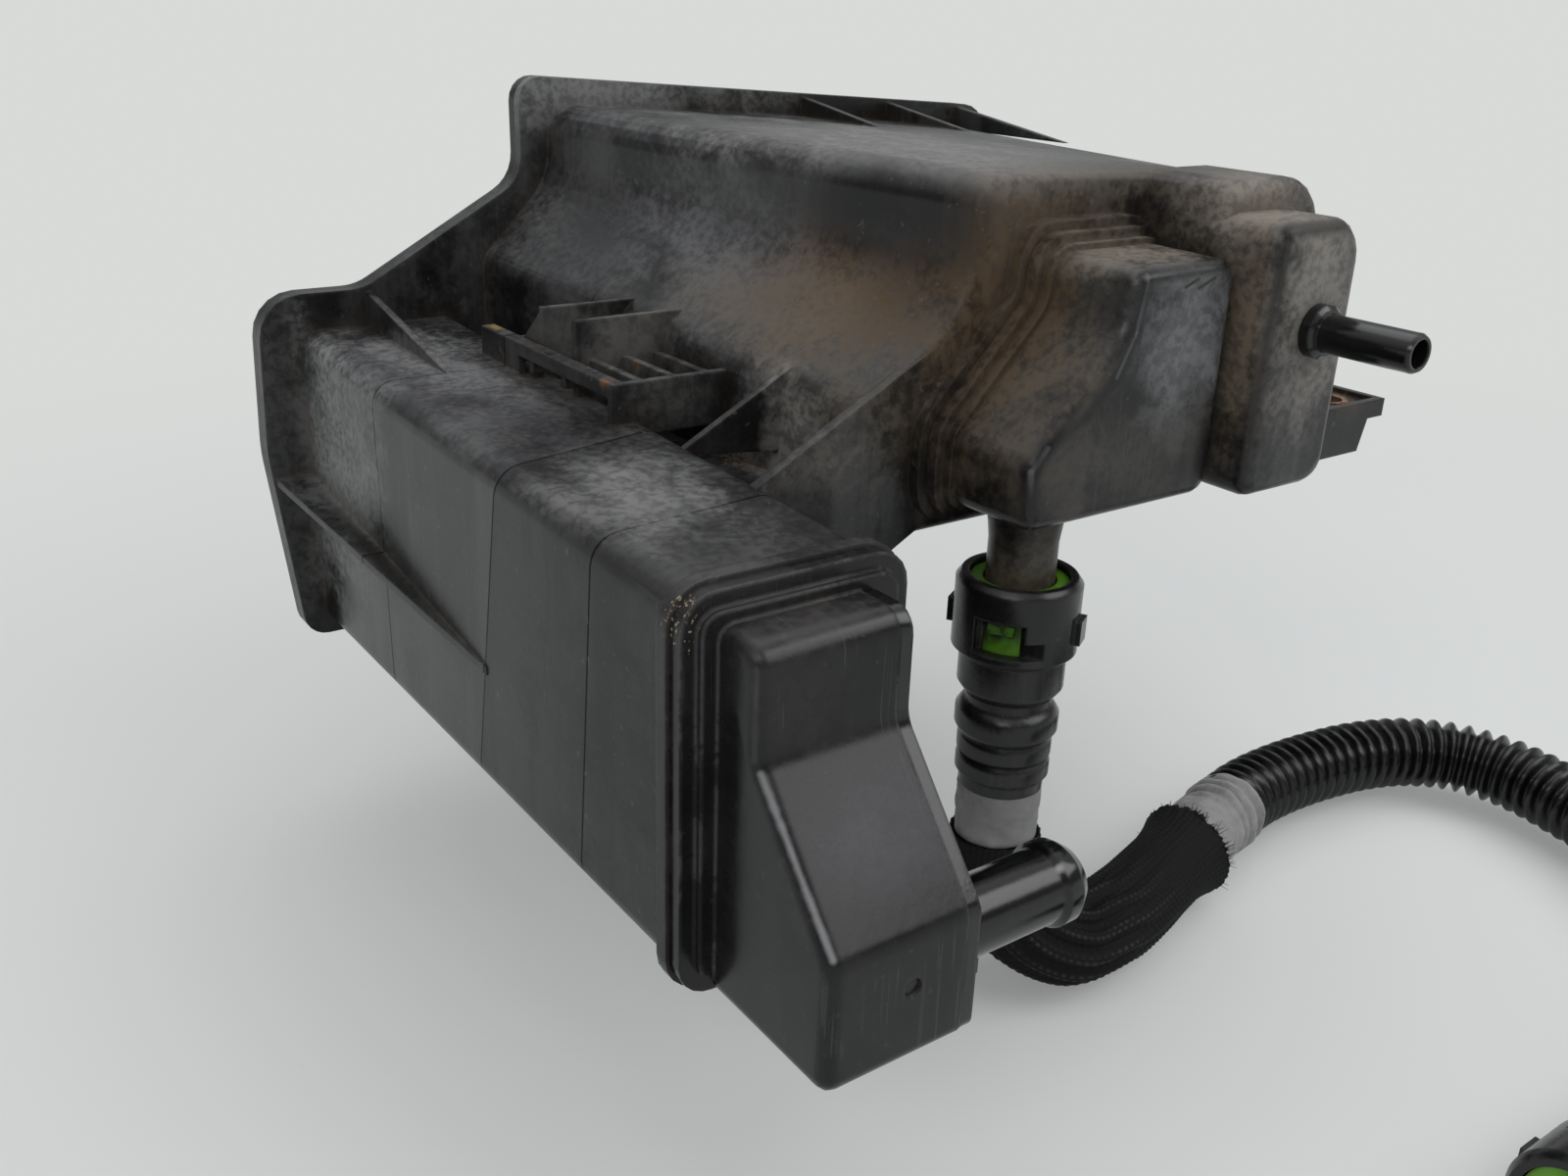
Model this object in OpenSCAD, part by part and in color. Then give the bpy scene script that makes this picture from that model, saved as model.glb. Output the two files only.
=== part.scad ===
// Twin-chamber charcoal canister. One moulded body holds a low side chamber and a boot-shaped main
// chamber. Front caps and a rear cover are welded on, the carbon beds lie under spring load, and a
// vapour hose sits on the main cap's spigot with a quick connector.
// X runs from the side chamber to the main chamber, Y from the ports to the rear cover, Z up.
// The origin is the middle of the bracket slot's mouth, where the vehicle holds the canister.

/* [Walls and welds] */
// Wall of the moulded body and caps
wall = 2.5; // [2:0.1:3]
// Thickness of each weld flange
rim_t = 4; // [3:0.5:5]
// How far the body's front rim stands out from the side chamber
rim_out = 3; // [2:0.5:4]
// Thickness of ribs, fins and bracket plates
rib_t = 2.4; // [1.8:0.1:3]
// Clearance of loose pieces inside the chambers
slip = 0.4; // [0.3:0.05:0.8]

/* [Side chamber] */
// Outer width of the side chamber
side_w = 55; // [52:0.5:59]
// Outer height of the side chamber at its front end
side_h = 94; // [90:0.5:98]
// Rise of the side chamber's top from front to rear
side_rise = 8; // [5:0.5:10]
// Length from the side chamber's front rim to the rear flange
side_len = 232; // [222:1:250]
// Corner radius of the side chamber
side_r = 7; // [5:0.5:9]

/* [Main chamber] */
// Distance of the main chamber's front wall behind the side chamber's front rim
main_back = 48; // [45:0.5:51]
// Height of the main chamber's underside above the lowest rim
main_z = 76; // [73:0.5:78]
// Width of the main chamber's foot at its front end
foot_w = 138; // [134:0.5:143]
// Extra width that the right wall gains towards the rear
foot_spread = 54; // [46:0.5:58]
// Height of the main chamber's left shoulder at its front end
main_h = 93; // [90:0.5:97]
// Fall of the top from the left shoulder to the right edge
top_fall = 3; // [2:0.5:5]
// Width of the step between the foot and the shoulder at the front
step_w = 33.5; // [31:0.5:36]
// Height of the toe edge above the underside at the front
toe_h = 36; // [33:0.5:39]
// Height of the instep above the underside at the front
instep_h = 61; // [58:0.5:64]
// Gap between the two chambers at the front
valley_front = 29; // [27:0.5:32]
// Gap between the two chambers at the rear
valley_rear = 9; // [8:0.5:11]

/* [Rear flange and cover] */
// How far the rear flange stands out beside the chambers
flange_out = 12; // [10:0.5:14]
// How far the rear flange stands out above the main chamber
crown_out = 9; // [7:0.5:11]
// Depth of the cover's two pans behind its flange
pan_depth = 9; // [7:0.5:12]
// Height of the ribs on the cover's pans
cover_rib_h = 2.5; // [1.5:0.5:4]

/* [Side cap] */
// Width of the side cap's hood, with the vent plate
hood_w = 40; // [37:0.5:42]
// Reach of the hood in front of the weld flange
hood_reach = 43.7; // [40:0.1:47]
// Height of the hood's low front face
nose_h = 32.3; // [30:0.1:35]
// Reach of the hood's upper face
brow_reach = 16; // [13:0.5:18]
// Height where the slanted face meets the upper face
brow_h = 67; // [63:0.5:70]
// Outer diameter of the vent spigot
vent_d = 18; // [16:0.5:20]
// Length of the vent spigot beyond its plate
vent_len = 38; // [32:0.5:42]
// Wall of the vent and vapour spigots
spigot_wall = 1.9; // [1.5:0.1:2.4]

/* [Main cap] */
// Width of the main cap
cap_w = 68.5; // [66:0.5:70]
// Height of the main cap
cap_h = 63.5; // [61:0.5:66]
// Depth of the main cap in front of its weld flange
cap_d = 29.7; // [27:0.1:32]
// Width of the step in the main cap's left side
cap_step = 30; // [28:0.5:32]
// Height of the main cap's toe edge
cap_toe_h = 18.5; // [16:0.5:21]
// Height of the main cap's instep
cap_instep_h = 50; // [47:0.5:52]
// Outer diameter of the vapour spigot under the main cap
spigot_d = 18.9; // [18:0.1:20]
// Length of the vapour spigot below the main cap
spigot_len = 54; // [51:0.5:56]

/* [Purge dome] */
// Gap between the main cap and the dome
groove_w = 4; // [3:0.5:5]
// Width of the purge dome
dome_w = 35.5; // [33:0.5:37]
// Height of the purge dome
dome_h = 74; // [71:0.5:76]
// Depth of the purge dome in front of its base block
dome_d = 18.7; // [16:0.1:21]
// Outer diameter of the purge spigot
purge_d = 10.5; // [8:0.1:12]
// Length of the purge spigot beyond the dome
purge_len = 31; // [26:0.5:36]

/* [Bracket and lug] */
// Width of the bracket slot between its two upright plates
slot_w = 18; // [16:0.5:20]
// Length of the upright plates across the valley
plate_len = 41; // [38:0.5:44]
// Reach of the lug beyond the main chamber's front right edge
lug_reach = 44; // [40:0.5:48]
// Bore of the steel bush in the lug
bush_bore = 8.5; // [6.5:0.1:9]
// Wall of the steel bush
bush_wall = 1.75; // [1.25:0.05:2]

/* [Quick connector] */
// Outer diameter of the connector's collar
collar_d = 34.5; // [33.5:0.1:37]
// Outer diameter of the connector's barrel
barrel_d = 29.5; // [28.5:0.1:31]
// Section diameter of the sealing rings
ring_d = 2.6; // [2.2:0.1:2.8]

/* [Carbon and springs] */
// Thickness of the fleece pads
fleece_t = 3; // [2:0.5:4]
// Thickness of the grids and pressure plates
plate_t = 2.5; // [2:0.1:3]
// Wire diameter of the springs
wire_d = 1.8; // [1.2:0.1:2.2]
// Mean diameter of the springs
coil_d = 24; // [20:0.5:26]

/* [Hidden] */
$fn = 48;

// Colours of the plastics, metals and fabrics
black = [0.10, 0.10, 0.11];
gloss_black = [0.04, 0.04, 0.05];
dusty = [0.16, 0.15, 0.15];
green = [0.35, 0.62, 0.12];
steel = [0.42, 0.32, 0.26];
fleece_white = [0.80, 0.79, 0.74];
carbon = [0.05, 0.05, 0.05];
tape_grey = [0.52, 0.52, 0.50];

// Steps in each rounded corner and edge, smallest radius, first point of an outline's second corner,
// span of the lofts, overlap of joined shapes
arc_steps = 5;
edge_steps = 3;
arc_min = 0.6;
right_corner = arc_steps + 1;
twist_span = 45;
lap = 1;

// Planes along Y: flange joint, cover's outer face, main cap's weld and front face
rear_y = side_len;
joint_y = rear_y + rim_t;
pan_y = joint_y + rim_t + pan_depth;
main_joint_y = main_back - rim_t;
cap_back_y = main_joint_y - rim_t;
cap_front_y = cap_back_y - cap_d;

// Side chamber's outline as x, z and corner radius, anticlockwise seen from the ports
side_front = [[0, rim_out, side_r], [side_w, rim_out, side_r],
              [side_w, rim_out + side_h, side_r], [0, rim_out + side_h, side_r]];
side_back = [for (c = side_front) [c.x, c.y + (c.y > rim_out ? side_rise : 0), c.z]];

// Main chamber's outline at its front and at its rear
foot_x = side_w + valley_front;
foot_rear_x = side_w + valley_rear;
right_x = foot_x + foot_w;
right_rear_x = right_x + foot_spread;
foot_r = 9;
toe_r = 10;
instep_r = 24;
shoulder_r = 9;
crown_r = 20;
main_edge_r = 2;
shoulder_rise = 4;
toe_rise = 12;
step_loss = 8;
main_front = [[foot_x, main_z, foot_r], [right_x, main_z, foot_r],
              [right_x, main_z + main_h - top_fall, crown_r],
              [foot_x + step_w, main_z + main_h, shoulder_r],
              [foot_x + step_w, main_z + instep_h, instep_r], [foot_x, main_z + toe_h, toe_r]];
shoulder_x = foot_rear_x + step_w - step_loss;
main_rear = [[foot_rear_x, main_z, foot_r], [right_rear_x, main_z, foot_r],
             [right_rear_x, main_z + main_h - top_fall - shoulder_rise, crown_r],
             [shoulder_x, main_z + main_h + shoulder_rise, shoulder_r],
             [shoulder_x, main_z + instep_h + toe_rise, instep_r],
             [foot_rear_x, main_z + toe_h + toe_rise, toe_r]];

// Rear flange's outline round both chambers
flange_top = rim_out + side_h + side_rise + flange_out;
flange_crown = main_z + main_h + shoulder_rise + crown_out;
flange_fall = 13;
flange_gap = 10;
flange_shoulder_x = shoulder_x - flange_gap;
flange_right = right_rear_x + flange_out;
flange_low = main_z - flange_gap;
flange_leg_x = side_w + flange_out - 1;
flange_bend_x = 22;
flange_waist = 33;
flange_belly = 2;
flange_heel = 5;
flange_outline = [[-flange_out + flange_heel, 0, 8], [flange_leg_x, 0, 6],
                  [flange_leg_x, flange_low, 5], [flange_right, flange_low, 14],
                  [flange_right, flange_crown - flange_fall, 12], [flange_shoulder_x, flange_crown, 8],
                  [flange_shoulder_x, flange_crown - flange_waist, 14], [flange_bend_x, flange_top, 18],
                  [-flange_out, flange_top, 14], [-flange_out - flange_belly, flange_low, 70]];

// Main cap's outline and the stand-out of its weld flanges
cap_in = 23;
cap_up = 10.5;
cap_x = foot_x + cap_in;
cap_z = main_z + cap_up;
cap_right = cap_x + cap_w;
cap_r = 5;
cap_outline = [[cap_x, cap_z, cap_r], [cap_right, cap_z, cap_r],
               [cap_right, cap_z + cap_h, cap_r], [cap_x + cap_step, cap_z + cap_h, cap_r],
               [cap_x + cap_step, cap_z + cap_instep_h, 14], [cap_x, cap_z + cap_toe_h, 7]];
body_rim_out = 7;
cap_rim_out = 4.5;
cap_base_out = 2;
cap_base_t = 3;
cap_edge_r = 3.5;
cap_draft = 0.5;

// Purge dome and its base block at the main chamber's right front
dome_x = cap_right + groove_w;
dome_z = cap_z - 0.5;
block_x = dome_x + 1;
block_z = dome_z - 2;
block_d = 28;
block_front = main_back - block_d;
dome_front_y = block_front - dome_d;
block_top = main_z + main_h - top_fall + 2;
block_r = 16;
dome_edge_r = 4;
block_outline = [[block_x, block_z, 6], [right_x, block_z, 8], [right_x, block_top, block_r],
                 [block_x, block_top, 6]];
dome_outline = [[dome_x, dome_z, 5], [dome_x + dome_w, dome_z, 8],
                [dome_x + dome_w, dome_z + dome_h, 12], [dome_x, dome_z + dome_h, 6]];
purge_in = 20;
purge_up = 44.8;
purge_at = [dome_x + purge_in, dome_z + purge_up];
purge_collar_d = purge_d + 4;
purge_collar_t = 4;
purge_wall = 1.5;

// Hood of the side cap with its welded vent plate, places measured from the weld flange
hood_x = 6;
hood_low = 1.5;
hood_drop = 5;
hood_edge_r = 3.5;
cap_flange_out = 2;
hood_base_in = 2;
port_plate_t = 3.5;
port_x = hood_x + hood_w - port_plate_t;
plate_inset = 0.3;
vent_back = 12.7;
vent_z = 21;
vent_y = -rim_t - hood_reach + vent_back;
vent_bead = 1.3;
bead_w = 7;
gate_at = [28, 21];
gate_d = 4.5;
gate_depth = 0.8;
hood_outline = [[-lap, hood_low, arc_min], [hood_reach, hood_low, 4],
                [hood_reach, hood_low + nose_h, 6], [brow_reach, brow_h, 8],
                [brow_reach, rim_out + side_h - hood_drop, 6], [-lap, rim_out + side_h - hood_drop, arc_min]];

// Vapour spigot below the main cap
spigot_in = 18;
spigot_back = 17.7;
spigot_at = [cap_x + spigot_in, cap_front_y + spigot_back];
spigot_end = cap_z - spigot_len;
spigot_root = 1;
spigot_root_h = 9;

// Bracket in the valley between the chambers
bracket_x = 42;
bracket_back = 55;
bracket_front = main_back + bracket_back;
bar_w = 4.5;
bar_h = 4;
bar_len = 83;
window_len = 57;
bracket_rise = 15;
bracket_top = rim_out + side_h + bracket_rise;
plate_rise = 11;
plate_in = 5;
plate_x = bracket_x + plate_in;
plate_top = bracket_top + plate_rise;
slot_back = 32;
slot_front = bracket_front + slot_back;
bracket_foot = rim_out + side_h;
slat_h = 8;
slat_pitch = 10.5;
slats = 3;
brace_len = 13;
origin = [plate_x + plate_len / 2, slot_front + slot_w / 2, plate_top];

// Web, gussets and fin that stiffen the body
web_t = 3.5;
web_y = main_back - 0.4;
web_low = 66;
web_drop = 4;
web_toe_in = 10;
web_toe_r = 12;
rib_rise = 10;
web_rise = 57;
web_top = main_z + web_rise;
gusset_side_x = 24;
gusset_side_y = 156;
gusset_in = 26;
gusset_mid = 15;
gusset_far = 51;
gusset_places = [right_x - gusset_in, right_x + gusset_mid, right_x + gusset_far];
gusset_foot_y = 170;
bury = 2;
fin_len = 136;
fin_z = 57;
fin_drop = 16;
valley_rib_back = 32;
valley_rib_y = main_back + valley_rib_back;

// Lug on the right wall with its bush
lug_y = 29;
lug_w = 22;
lug_up = 22;
lug_top = main_z + lug_up;
lug_plate_t = 4;
lug_h = 14;
lug_skirt = 7;
skirt_slant = 3;
lug_root = 6;
lug_lip = 1.5;
bush_d = bush_bore + 2 * bush_wall;
boss_wall = 3;
bush_in = 13;
bush_at = [right_x + lug_reach - bush_in, lug_y];
bush_proud = 0.5;

// Stack of pieces along each chamber
ledge = 3;
ledge_depth = 6;
side_grid_y = ledge_depth;
side_fleece_y = side_grid_y + plate_t;
side_bed_y = side_fleece_y + fleece_t;
main_grid_y = main_back + wall + ledge_depth;
main_fleece_y = main_grid_y + plate_t;
main_bed_y = main_fleece_y + fleece_t;
press_gap = 31;
press_y = rear_y - press_gap;
rear_fleece_y = press_y - plate_t - fleece_t;
grid_pitch = 8;
grid_bar = 2.5;
grid_edge = 5;

// Springs between the pressure plates and the cover
cup_h = 4;
cup_wall = 1.5;
spring_turns = 4;
turn_steps = 14;
wire_sides = 6;
seat_gap = 0.05;
spring_end = pan_y - wall;
spring_low = 26;
spring_high = 22;
spring_foot = 40;
spring_right = 10;
spring_up = 42;
side_springs_at = [[side_w / 2, rim_out + spring_low], [side_w / 2, rim_out + side_h - spring_high]];
main_springs_at = [[foot_x + spring_foot, main_z + spring_up], [right_x - spring_right, main_z + spring_up]];

// Cover's pans, the passage between them and the ribs across the main pan
pan_in = 4;
passage_up = 4;
passage_z = main_z + passage_up;
passage_h = 18;
passage_lap = 12;
cover_rib_in = 95;
cover_rib_pitch = 50;
cover_rib_up = 28;
cover_ribs_x = [for (i = [0 : 2]) right_x - cover_rib_in + i * cover_rib_pitch];
cover_ribs_z = [main_z + cover_rib_up, main_z + 2 * cover_rib_up];

// Quick connector, measured down from its collar's mouth
collar_h = 22;
collar_wall = 3.6;
barrel_end = 35;
neck_d = 24;
bulge_d = 29;
bulge_z = 43;
bulge_h = 9;
barb_d = 26.6;
barb_z = 48;
barb_h = 6.5;
barbs = 2;
tail_end = 64;
tail_bore = 13;
socket_clear = 0.15;
socket_r = spigot_d / 2 + socket_clear;
socket_end = 38;
seal_top = collar_h + 0.5;
spacer_t = 1.4;
spacer_clear = 0.1;
seal_squeeze = 0.2;
seal_clear = 0.02;
groove_r = socket_r + ring_d - seal_squeeze;
seal_end = seal_top + 2 * ring_d + spacer_t;
window_w = 14;
window_h = 10;
notch_w = 6;
notch_h = 5;
mouth_gap = 19;
connector_turn = 60;
mouth_z = cap_z - mouth_gap;

// Vapour hose: diameters and the route of its middle line, chosen by hand
cuff_d = 24;
sleeve_d = 27;
tape_d = 25;
hose_d = 26;
cuff_route = [[125, 28, 3.5], [125, 28, -13]];
sleeve_route = [[125, 28, -13], [125, 27, -24], [127, 23, -35], [133, 18, -44], [145, 13, -50],
                [160, 12, -50], [176, 15, -50], [193, 20, -50], [214, 26, -50]];
tape_route = [[214, 26, -50], [226, 30, -50], [238, 33, -50]];
hose_route = [[238, 33, -50], [259, 38, -50], [281, 39, -50], [303, 37, -50],
              [322, 33, -50], [338, 26, -50], [350, 15, -50], [356, 1, -50], [357, -14, -50],
              [354, -32, -50], [349, -52, -50], [340, -72, -50], [327, -91, -50], [310, -107, -50],
              [290, -119, -50], [269, -127, -50], [248, -131, -50], [228, -131, -50]];
hose_sides = 12;
end_at = hose_route[len(hose_route) - 1];
end_heading = [-1, 0, 0];
down = [0, 0, -1];

// Unit vector along v
function unit(v) = v / norm(v);

// Point between a and b at share t
function between(a, b, t) = a + (b - a) * t;

// Outline at share t between two outlines with like corners
function section(a, b, t) = [for (i = [0:len(a) - 1]) between(a[i], b[i], t)];

// Outward normal of the edge from a to b of an anticlockwise outline
function edge_normal(a, b) = unit([b.y - a.y, a.x - b.x]);

// Positive where the outline bends outwards at b
function bend(a, b, c) = (b.x - a.x) * (c.y - b.y) - (b.y - a.y) * (c.x - b.x);

// Outline with every edge moved outwards by d, radii following
function grown(o, d) = [for (i = [0:len(o) - 1])
    let (p = o[(i + len(o) - 1) % len(o)], q = o[i], r = o[(i + 1) % len(o)],
         m = edge_normal(p, q), n = edge_normal(q, r), s = d * (m + n) / (1 + m * n))
    [q.x + s.x, q.y + s.y, max(arc_min, q.z + (bend(p, q, r) > 0 ? d : -d))]];

// Outline cut back so that it stays left of a limit
function kept_left(o, limit) = [for (c = o) [min(c.x, limit), c.y, c.z]];

// Angle turned to within half a turn of zero
function half_turn(v) = v > 180 ? v - 360 : v < -180 ? v + 360 : v;

// Points of the rounded corner q between its neighbours p and r
function corner(p, q, r) =
    let (c = [q.x, q.y], u = unit([p.x, p.y] - c), v = unit([r.x, r.y] - c),
         half = acos(max(-1, min(1, u * v))) / 2, mid = c + unit(u + v) * q.z / sin(half),
         a = c + u * q.z / tan(half) - mid, b = c + v * q.z / tan(half) - mid,
         start = atan2(a.y, a.x), sweep = half_turn(atan2(b.y, b.x) - start))
    [for (k = [0:arc_steps])
        let (angle = start + sweep * k / arc_steps)
        mid + q.z * [cos(angle), sin(angle)]];

// Points of an outline with all its corners rounded
function rounded(o) = [for (i = [0:len(o) - 1])
    each corner(o[(i + len(o) - 1) % len(o)], o[i], o[(i + 1) % len(o)])];

// Ring of an outline in the plane at y
function ring(o, y) = [for (p = rounded(o)) [p.x, y, p.y]];

// Closed skin over rings of equal length, each end face listed from point hub, which sees all the others
module skin(rings, hub = 0) {
    n = len(rings[0]);
    last = len(rings) - 1;
    sides = [for (j = [0:last - 1], i = [0:n - 1])
        let (a = j * n + i, b = j * n + (i + 1) % n)
        each [[a, b, b + n], [a, b + n, a + n]]];
    front = [for (i = [0:n - 1]) (hub + n - i) % n];
    back = [for (i = [0:n - 1]) last * n + (hub + i) % n];
    polyhedron(points = [for (r = rings) each r], faces = concat([front], sides, [back]));
}

// Flat plate of an outline from y0 to y1
module slab(o, y0, y1) {
    translate([0, y1, 0])
        rotate([90, 0, 0])
            linear_extrude(y1 - y0)
                polygon(rounded(o));
}

// Flat plate of a profile in y and z, centred on x
module upright(x, t, profile) {
    translate([x - t / 2, 0, 0])
        rotate([90, 0, 90])
            linear_extrude(t)
                polygon(profile);
}

// Block from outline o at y0 to outline p at y1, its front edge rounded by r
module softened(o, y0, p, y1, r) {
    skin(concat([for (k = [0:edge_steps])
                    let (a = 90 * k / edge_steps)
                    ring(grown(o, -r * (1 - sin(a))), y0 + r * (1 - cos(a)))],
                [ring(p, y1)]), right_corner);
}

// Main chamber's outline at y
function main_at(y) = section(main_front, main_rear, (y - main_back) / (rear_y - main_back));

// Height of the main chamber's top at x and y
function main_top(x, y) =
    let (o = main_at(y), a = o[3], b = o[2])
    a.y + (b.y - a.y) * (x - a.x) / (b.x - a.x);

// Height of the side chamber's top at y
function side_top(y) = rim_out + side_h + side_rise * y / rear_y;

// Height of the rear flange's top edge at x, over the main chamber
function crown_at(x) =
    flange_crown - flange_fall * (x - flange_shoulder_x) / (flange_right - flange_shoulder_x);

// Ring at y on the ruled wall between two outlines, moved in by d, with share t of the way
function wall_ring(a, b, t, y, d) =
    let (f = rounded(grown(a, -d)), r = rounded(grown(b, -d)))
    [for (i = [0:len(f) - 1])
        let (p = between(f[i], r[i], t))
        [p.x, y, p.y]];

// Length of the side chamber between two planes, moved in by d
module side_loft(y0, y1, d) {
    skin([for (y = [y0, y1]) wall_ring(side_front, side_back, y / rear_y, y, d)]);
}

// Length of the main chamber between two planes, moved in by d, in spans that follow the wall's twist
module main_loft(y0, y1, d) {
    spans = max(1, round((y1 - y0) / twist_span));
    skin([for (k = [0:spans])
        let (y = y0 + (y1 - y0) * k / spans)
        wall_ring(main_front, main_rear, (y - main_back) / (rear_y - main_back), y, d)], right_corner);
}

// Outer shape of the body's chambers, weld rims, dome and rear flange
module body_shell() {
    deep = rear_y + lap;
    side_loft(lap, deep, 0);
    slab(grown(side_front, rim_out), 0, rim_t);
    softened(main_front, main_back, main_rear, deep, main_edge_r);
    slab(grown(cap_outline, body_rim_out), main_joint_y, main_back + lap);
    softened(block_outline, block_front, block_outline, main_back + wall - lap / 2, dome_edge_r);
    softened(dome_outline, dome_front_y, dome_outline, block_front + dome_edge_r + lap, dome_edge_r);
    slab(flange_outline, rear_y, joint_y);
}

// Hollow inside the body, from the caps to the rear cover
module body_hollow() {
    tight = wall + ledge;
    side_loft(ledge_depth, joint_y + lap, wall);
    side_loft(-lap, ledge_depth + lap, tight);
    main_loft(main_grid_y, joint_y + lap, wall);
    main_loft(main_back + wall, main_grid_y + lap, tight);
    slab(grown(cap_outline, -wall), main_joint_y - lap, main_back + wall + lap);
    slab(grown(block_outline, -tight), block_front + wall, main_back + wall + lap);
    slab(grown(dome_outline, -tight), dome_front_y + wall, block_front + wall + lap);
    translate([purge_at.x, dome_front_y + wall + lap, purge_at.y])
        rotate([90, 0, 0])
            cylinder(d = purge_d, h = wall + 2 * lap);
}

// Web across the valley at the front, and the valley's floor behind it
module valley_web() {
    neck_x = foot_x + step_w;
    slab([[side_w - wall, web_low, arc_min], [foot_x + web_toe_in, main_z - web_drop, web_toe_r],
          [neck_x + lap, main_z + foot_r, arc_min], [neck_x + lap, web_top, arc_min],
          [side_w - side_r / 2, side_top(web_y) - lap, arc_min]], web_y, web_y + web_t);
    translate([side_w - wall, web_y, main_z + foot_r])
        cube([valley_front + 2 * wall, rear_y - web_y + lap, rib_t]);
    slab([[side_w - side_r, side_top(valley_rib_y) - bury, arc_min], [foot_x, main_z + toe_h / 2, arc_min],
          [foot_x + toe_r, main_z + toe_h + rib_rise, arc_min]], valley_rib_y, valley_rib_y + rib_t);
}

// Fin along the side chamber's left wall, running out to the rear flange
module side_fin() {
    skin([for (t = [1, 0])
        let (y = rear_y + lap - t * fin_len, z = fin_z - t * fin_drop, out = flange_out * (1 - t) + slip)
        [[-out, y, z - rib_t / 2], [lap, y, z - rib_t / 2], [lap, y, z + rib_t / 2], [-out, y, z + rib_t / 2]]]);
}

// Gussets from the rear flange down to the chambers' tops
module gussets() {
    back = rear_y + lap;
    upright(gusset_side_x, rib_t, [[gusset_side_y, side_top(gusset_side_y) - bury],
            [back, side_top(back) - bury], [back, flange_top - lap]]);
    for (x = gusset_places)
        upright(x, rib_t, [[gusset_foot_y, main_top(x, gusset_foot_y) - bury],
                [back, main_top(x, back) - bury], [back, crown_at(x) - lap]]);
}

// Bracket over the valley: side bar with a window, front wall, slats and the slot's two plates
module bracket() {
    bar_end = bracket_front + bar_len;
    wall_start = bracket_front + window_len;
    height = bracket_top - bracket_foot;
    plates_y = [slot_front - rib_t, slot_front + slot_w];
    translate([bracket_x, bracket_front, bracket_foot])
        cube([plate_len, rib_t, height]);
    translate([bracket_x, bracket_front, bracket_top - bar_h])
        cube([bar_w, bar_len, bar_h]);
    translate([bracket_x, wall_start, bracket_foot])
        cube([rib_t, bar_end - wall_start, height - bar_h + lap]);
    for (y = plates_y) {
        translate([plate_x, y, bracket_foot])
            cube([plate_len, rib_t, plate_top - bracket_foot]);
        translate([bracket_x + rib_t / 2, y, bracket_top - slat_h])
            cube([plate_x - bracket_x, rib_t, slat_h - lap]);
    }
    for (k = [1:slats])
        translate([bracket_x + k * slat_pitch - rib_t / 2, bracket_front + lap, bracket_top - slat_h])
            cube([rib_t, slot_front - bracket_front - rib_t, slat_h - lap / 2]);
    upright(plate_x + rib_t / 2, rib_t, [[plates_y[1] + lap, bracket_top - slat_h + lap],
            [plates_y[1] + rib_t + brace_len, bracket_top - 2 * lap], [plates_y[1] + lap, plate_top - lap / 2]]);
    translate([bracket_x + lap, plates_y[1] + lap, bracket_top - bar_h + lap])
        cube([plate_x + 2 * rib_t - bracket_x, brace_len + 2 * rib_t, bar_h - 2 * lap]);
}

// Lug on the right wall: lipped plate on two side walls, with a boss for the bush
module lug() {
    root = right_x - lug_root;
    end = right_x + lug_reach;
    low = lug_top - lug_h;
    front = lug_y - lug_w / 2;
    translate([root, front, lug_top - lug_plate_t])
        cube([end - root, lug_w, lug_plate_t]);
    translate([end - rib_t, front, lug_top - lap])
        cube([rib_t, lug_w, lug_lip + lap]);
    for (y = [front, front + lug_w - rib_t]) {
        translate([0, y + rib_t, 0])
            rotate([90, 0, 0])
                linear_extrude(rib_t)
                    polygon([[root, low], [end - lug_skirt - skirt_slant, low], [end - lug_skirt, lug_top - lug_plate_t + lap],
                             [root, lug_top - lug_plate_t + lap]]);
        translate([root, y, lug_top - lap])
            cube([end - root, rib_t, lug_lip + lap]);
    }
    translate([bush_at.x, bush_at.y, low])
        cylinder(d = bush_d + 2 * boss_wall, h = lug_h);
}

module canister_body() {
    color(black)
        difference() {
            union() {
                body_shell();
                valley_web();
                side_fin();
                gussets();
                bracket();
                lug();
            }
            body_hollow();
            translate([bush_at.x, bush_at.y, lug_top - lug_h - lap])
                cylinder(d = bush_d, h = lug_h + 2 * lap);
        }
}

// Rear cover: weld flange with a ribbed pan behind each chamber and a passage between the pans
module rear_cover() {
    pan_back = pan_y - wall;
    color(black)
        difference() {
            union() {
                slab(flange_outline, joint_y, joint_y + rim_t);
                slab(grown(side_back, -pan_in), joint_y + lap, pan_y);
                slab(grown(main_rear, -pan_in), joint_y + lap, pan_y);
                translate([side_w - passage_lap, joint_y + lap, passage_z])
                    cube([valley_rear + 2 * passage_lap, pan_depth, passage_h]);
                for (x = cover_ribs_x)
                    translate([x, pan_y - lap, main_z + foot_r])
                        cube([rib_t, cover_rib_h + lap, main_h - top_fall - 2 * crown_r]);
                for (z = cover_ribs_z)
                    translate([cover_ribs_x[0], pan_y - lap, z])
                        cube([right_rear_x - crown_r - cover_ribs_x[0], cover_rib_h + lap, rib_t]);
            }
            slab(grown(side_back, -pan_in - wall), joint_y - lap, pan_back);
            slab(grown(main_rear, -pan_in - wall), joint_y - lap, pan_back);
            translate([side_w - passage_lap - lap, joint_y - lap, passage_z + wall])
                cube([valley_rear + 2 * passage_lap + 2 * lap, pan_depth - wall + 2 * lap, passage_h - 2 * wall]);
        }
}

// Ring of the hood's outline moved in by d, in the plane at x
function hood_ring(d, x) = [for (p = rounded(grown(hood_outline, -d))) [x, -rim_t - p.x, p.y]];

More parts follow.
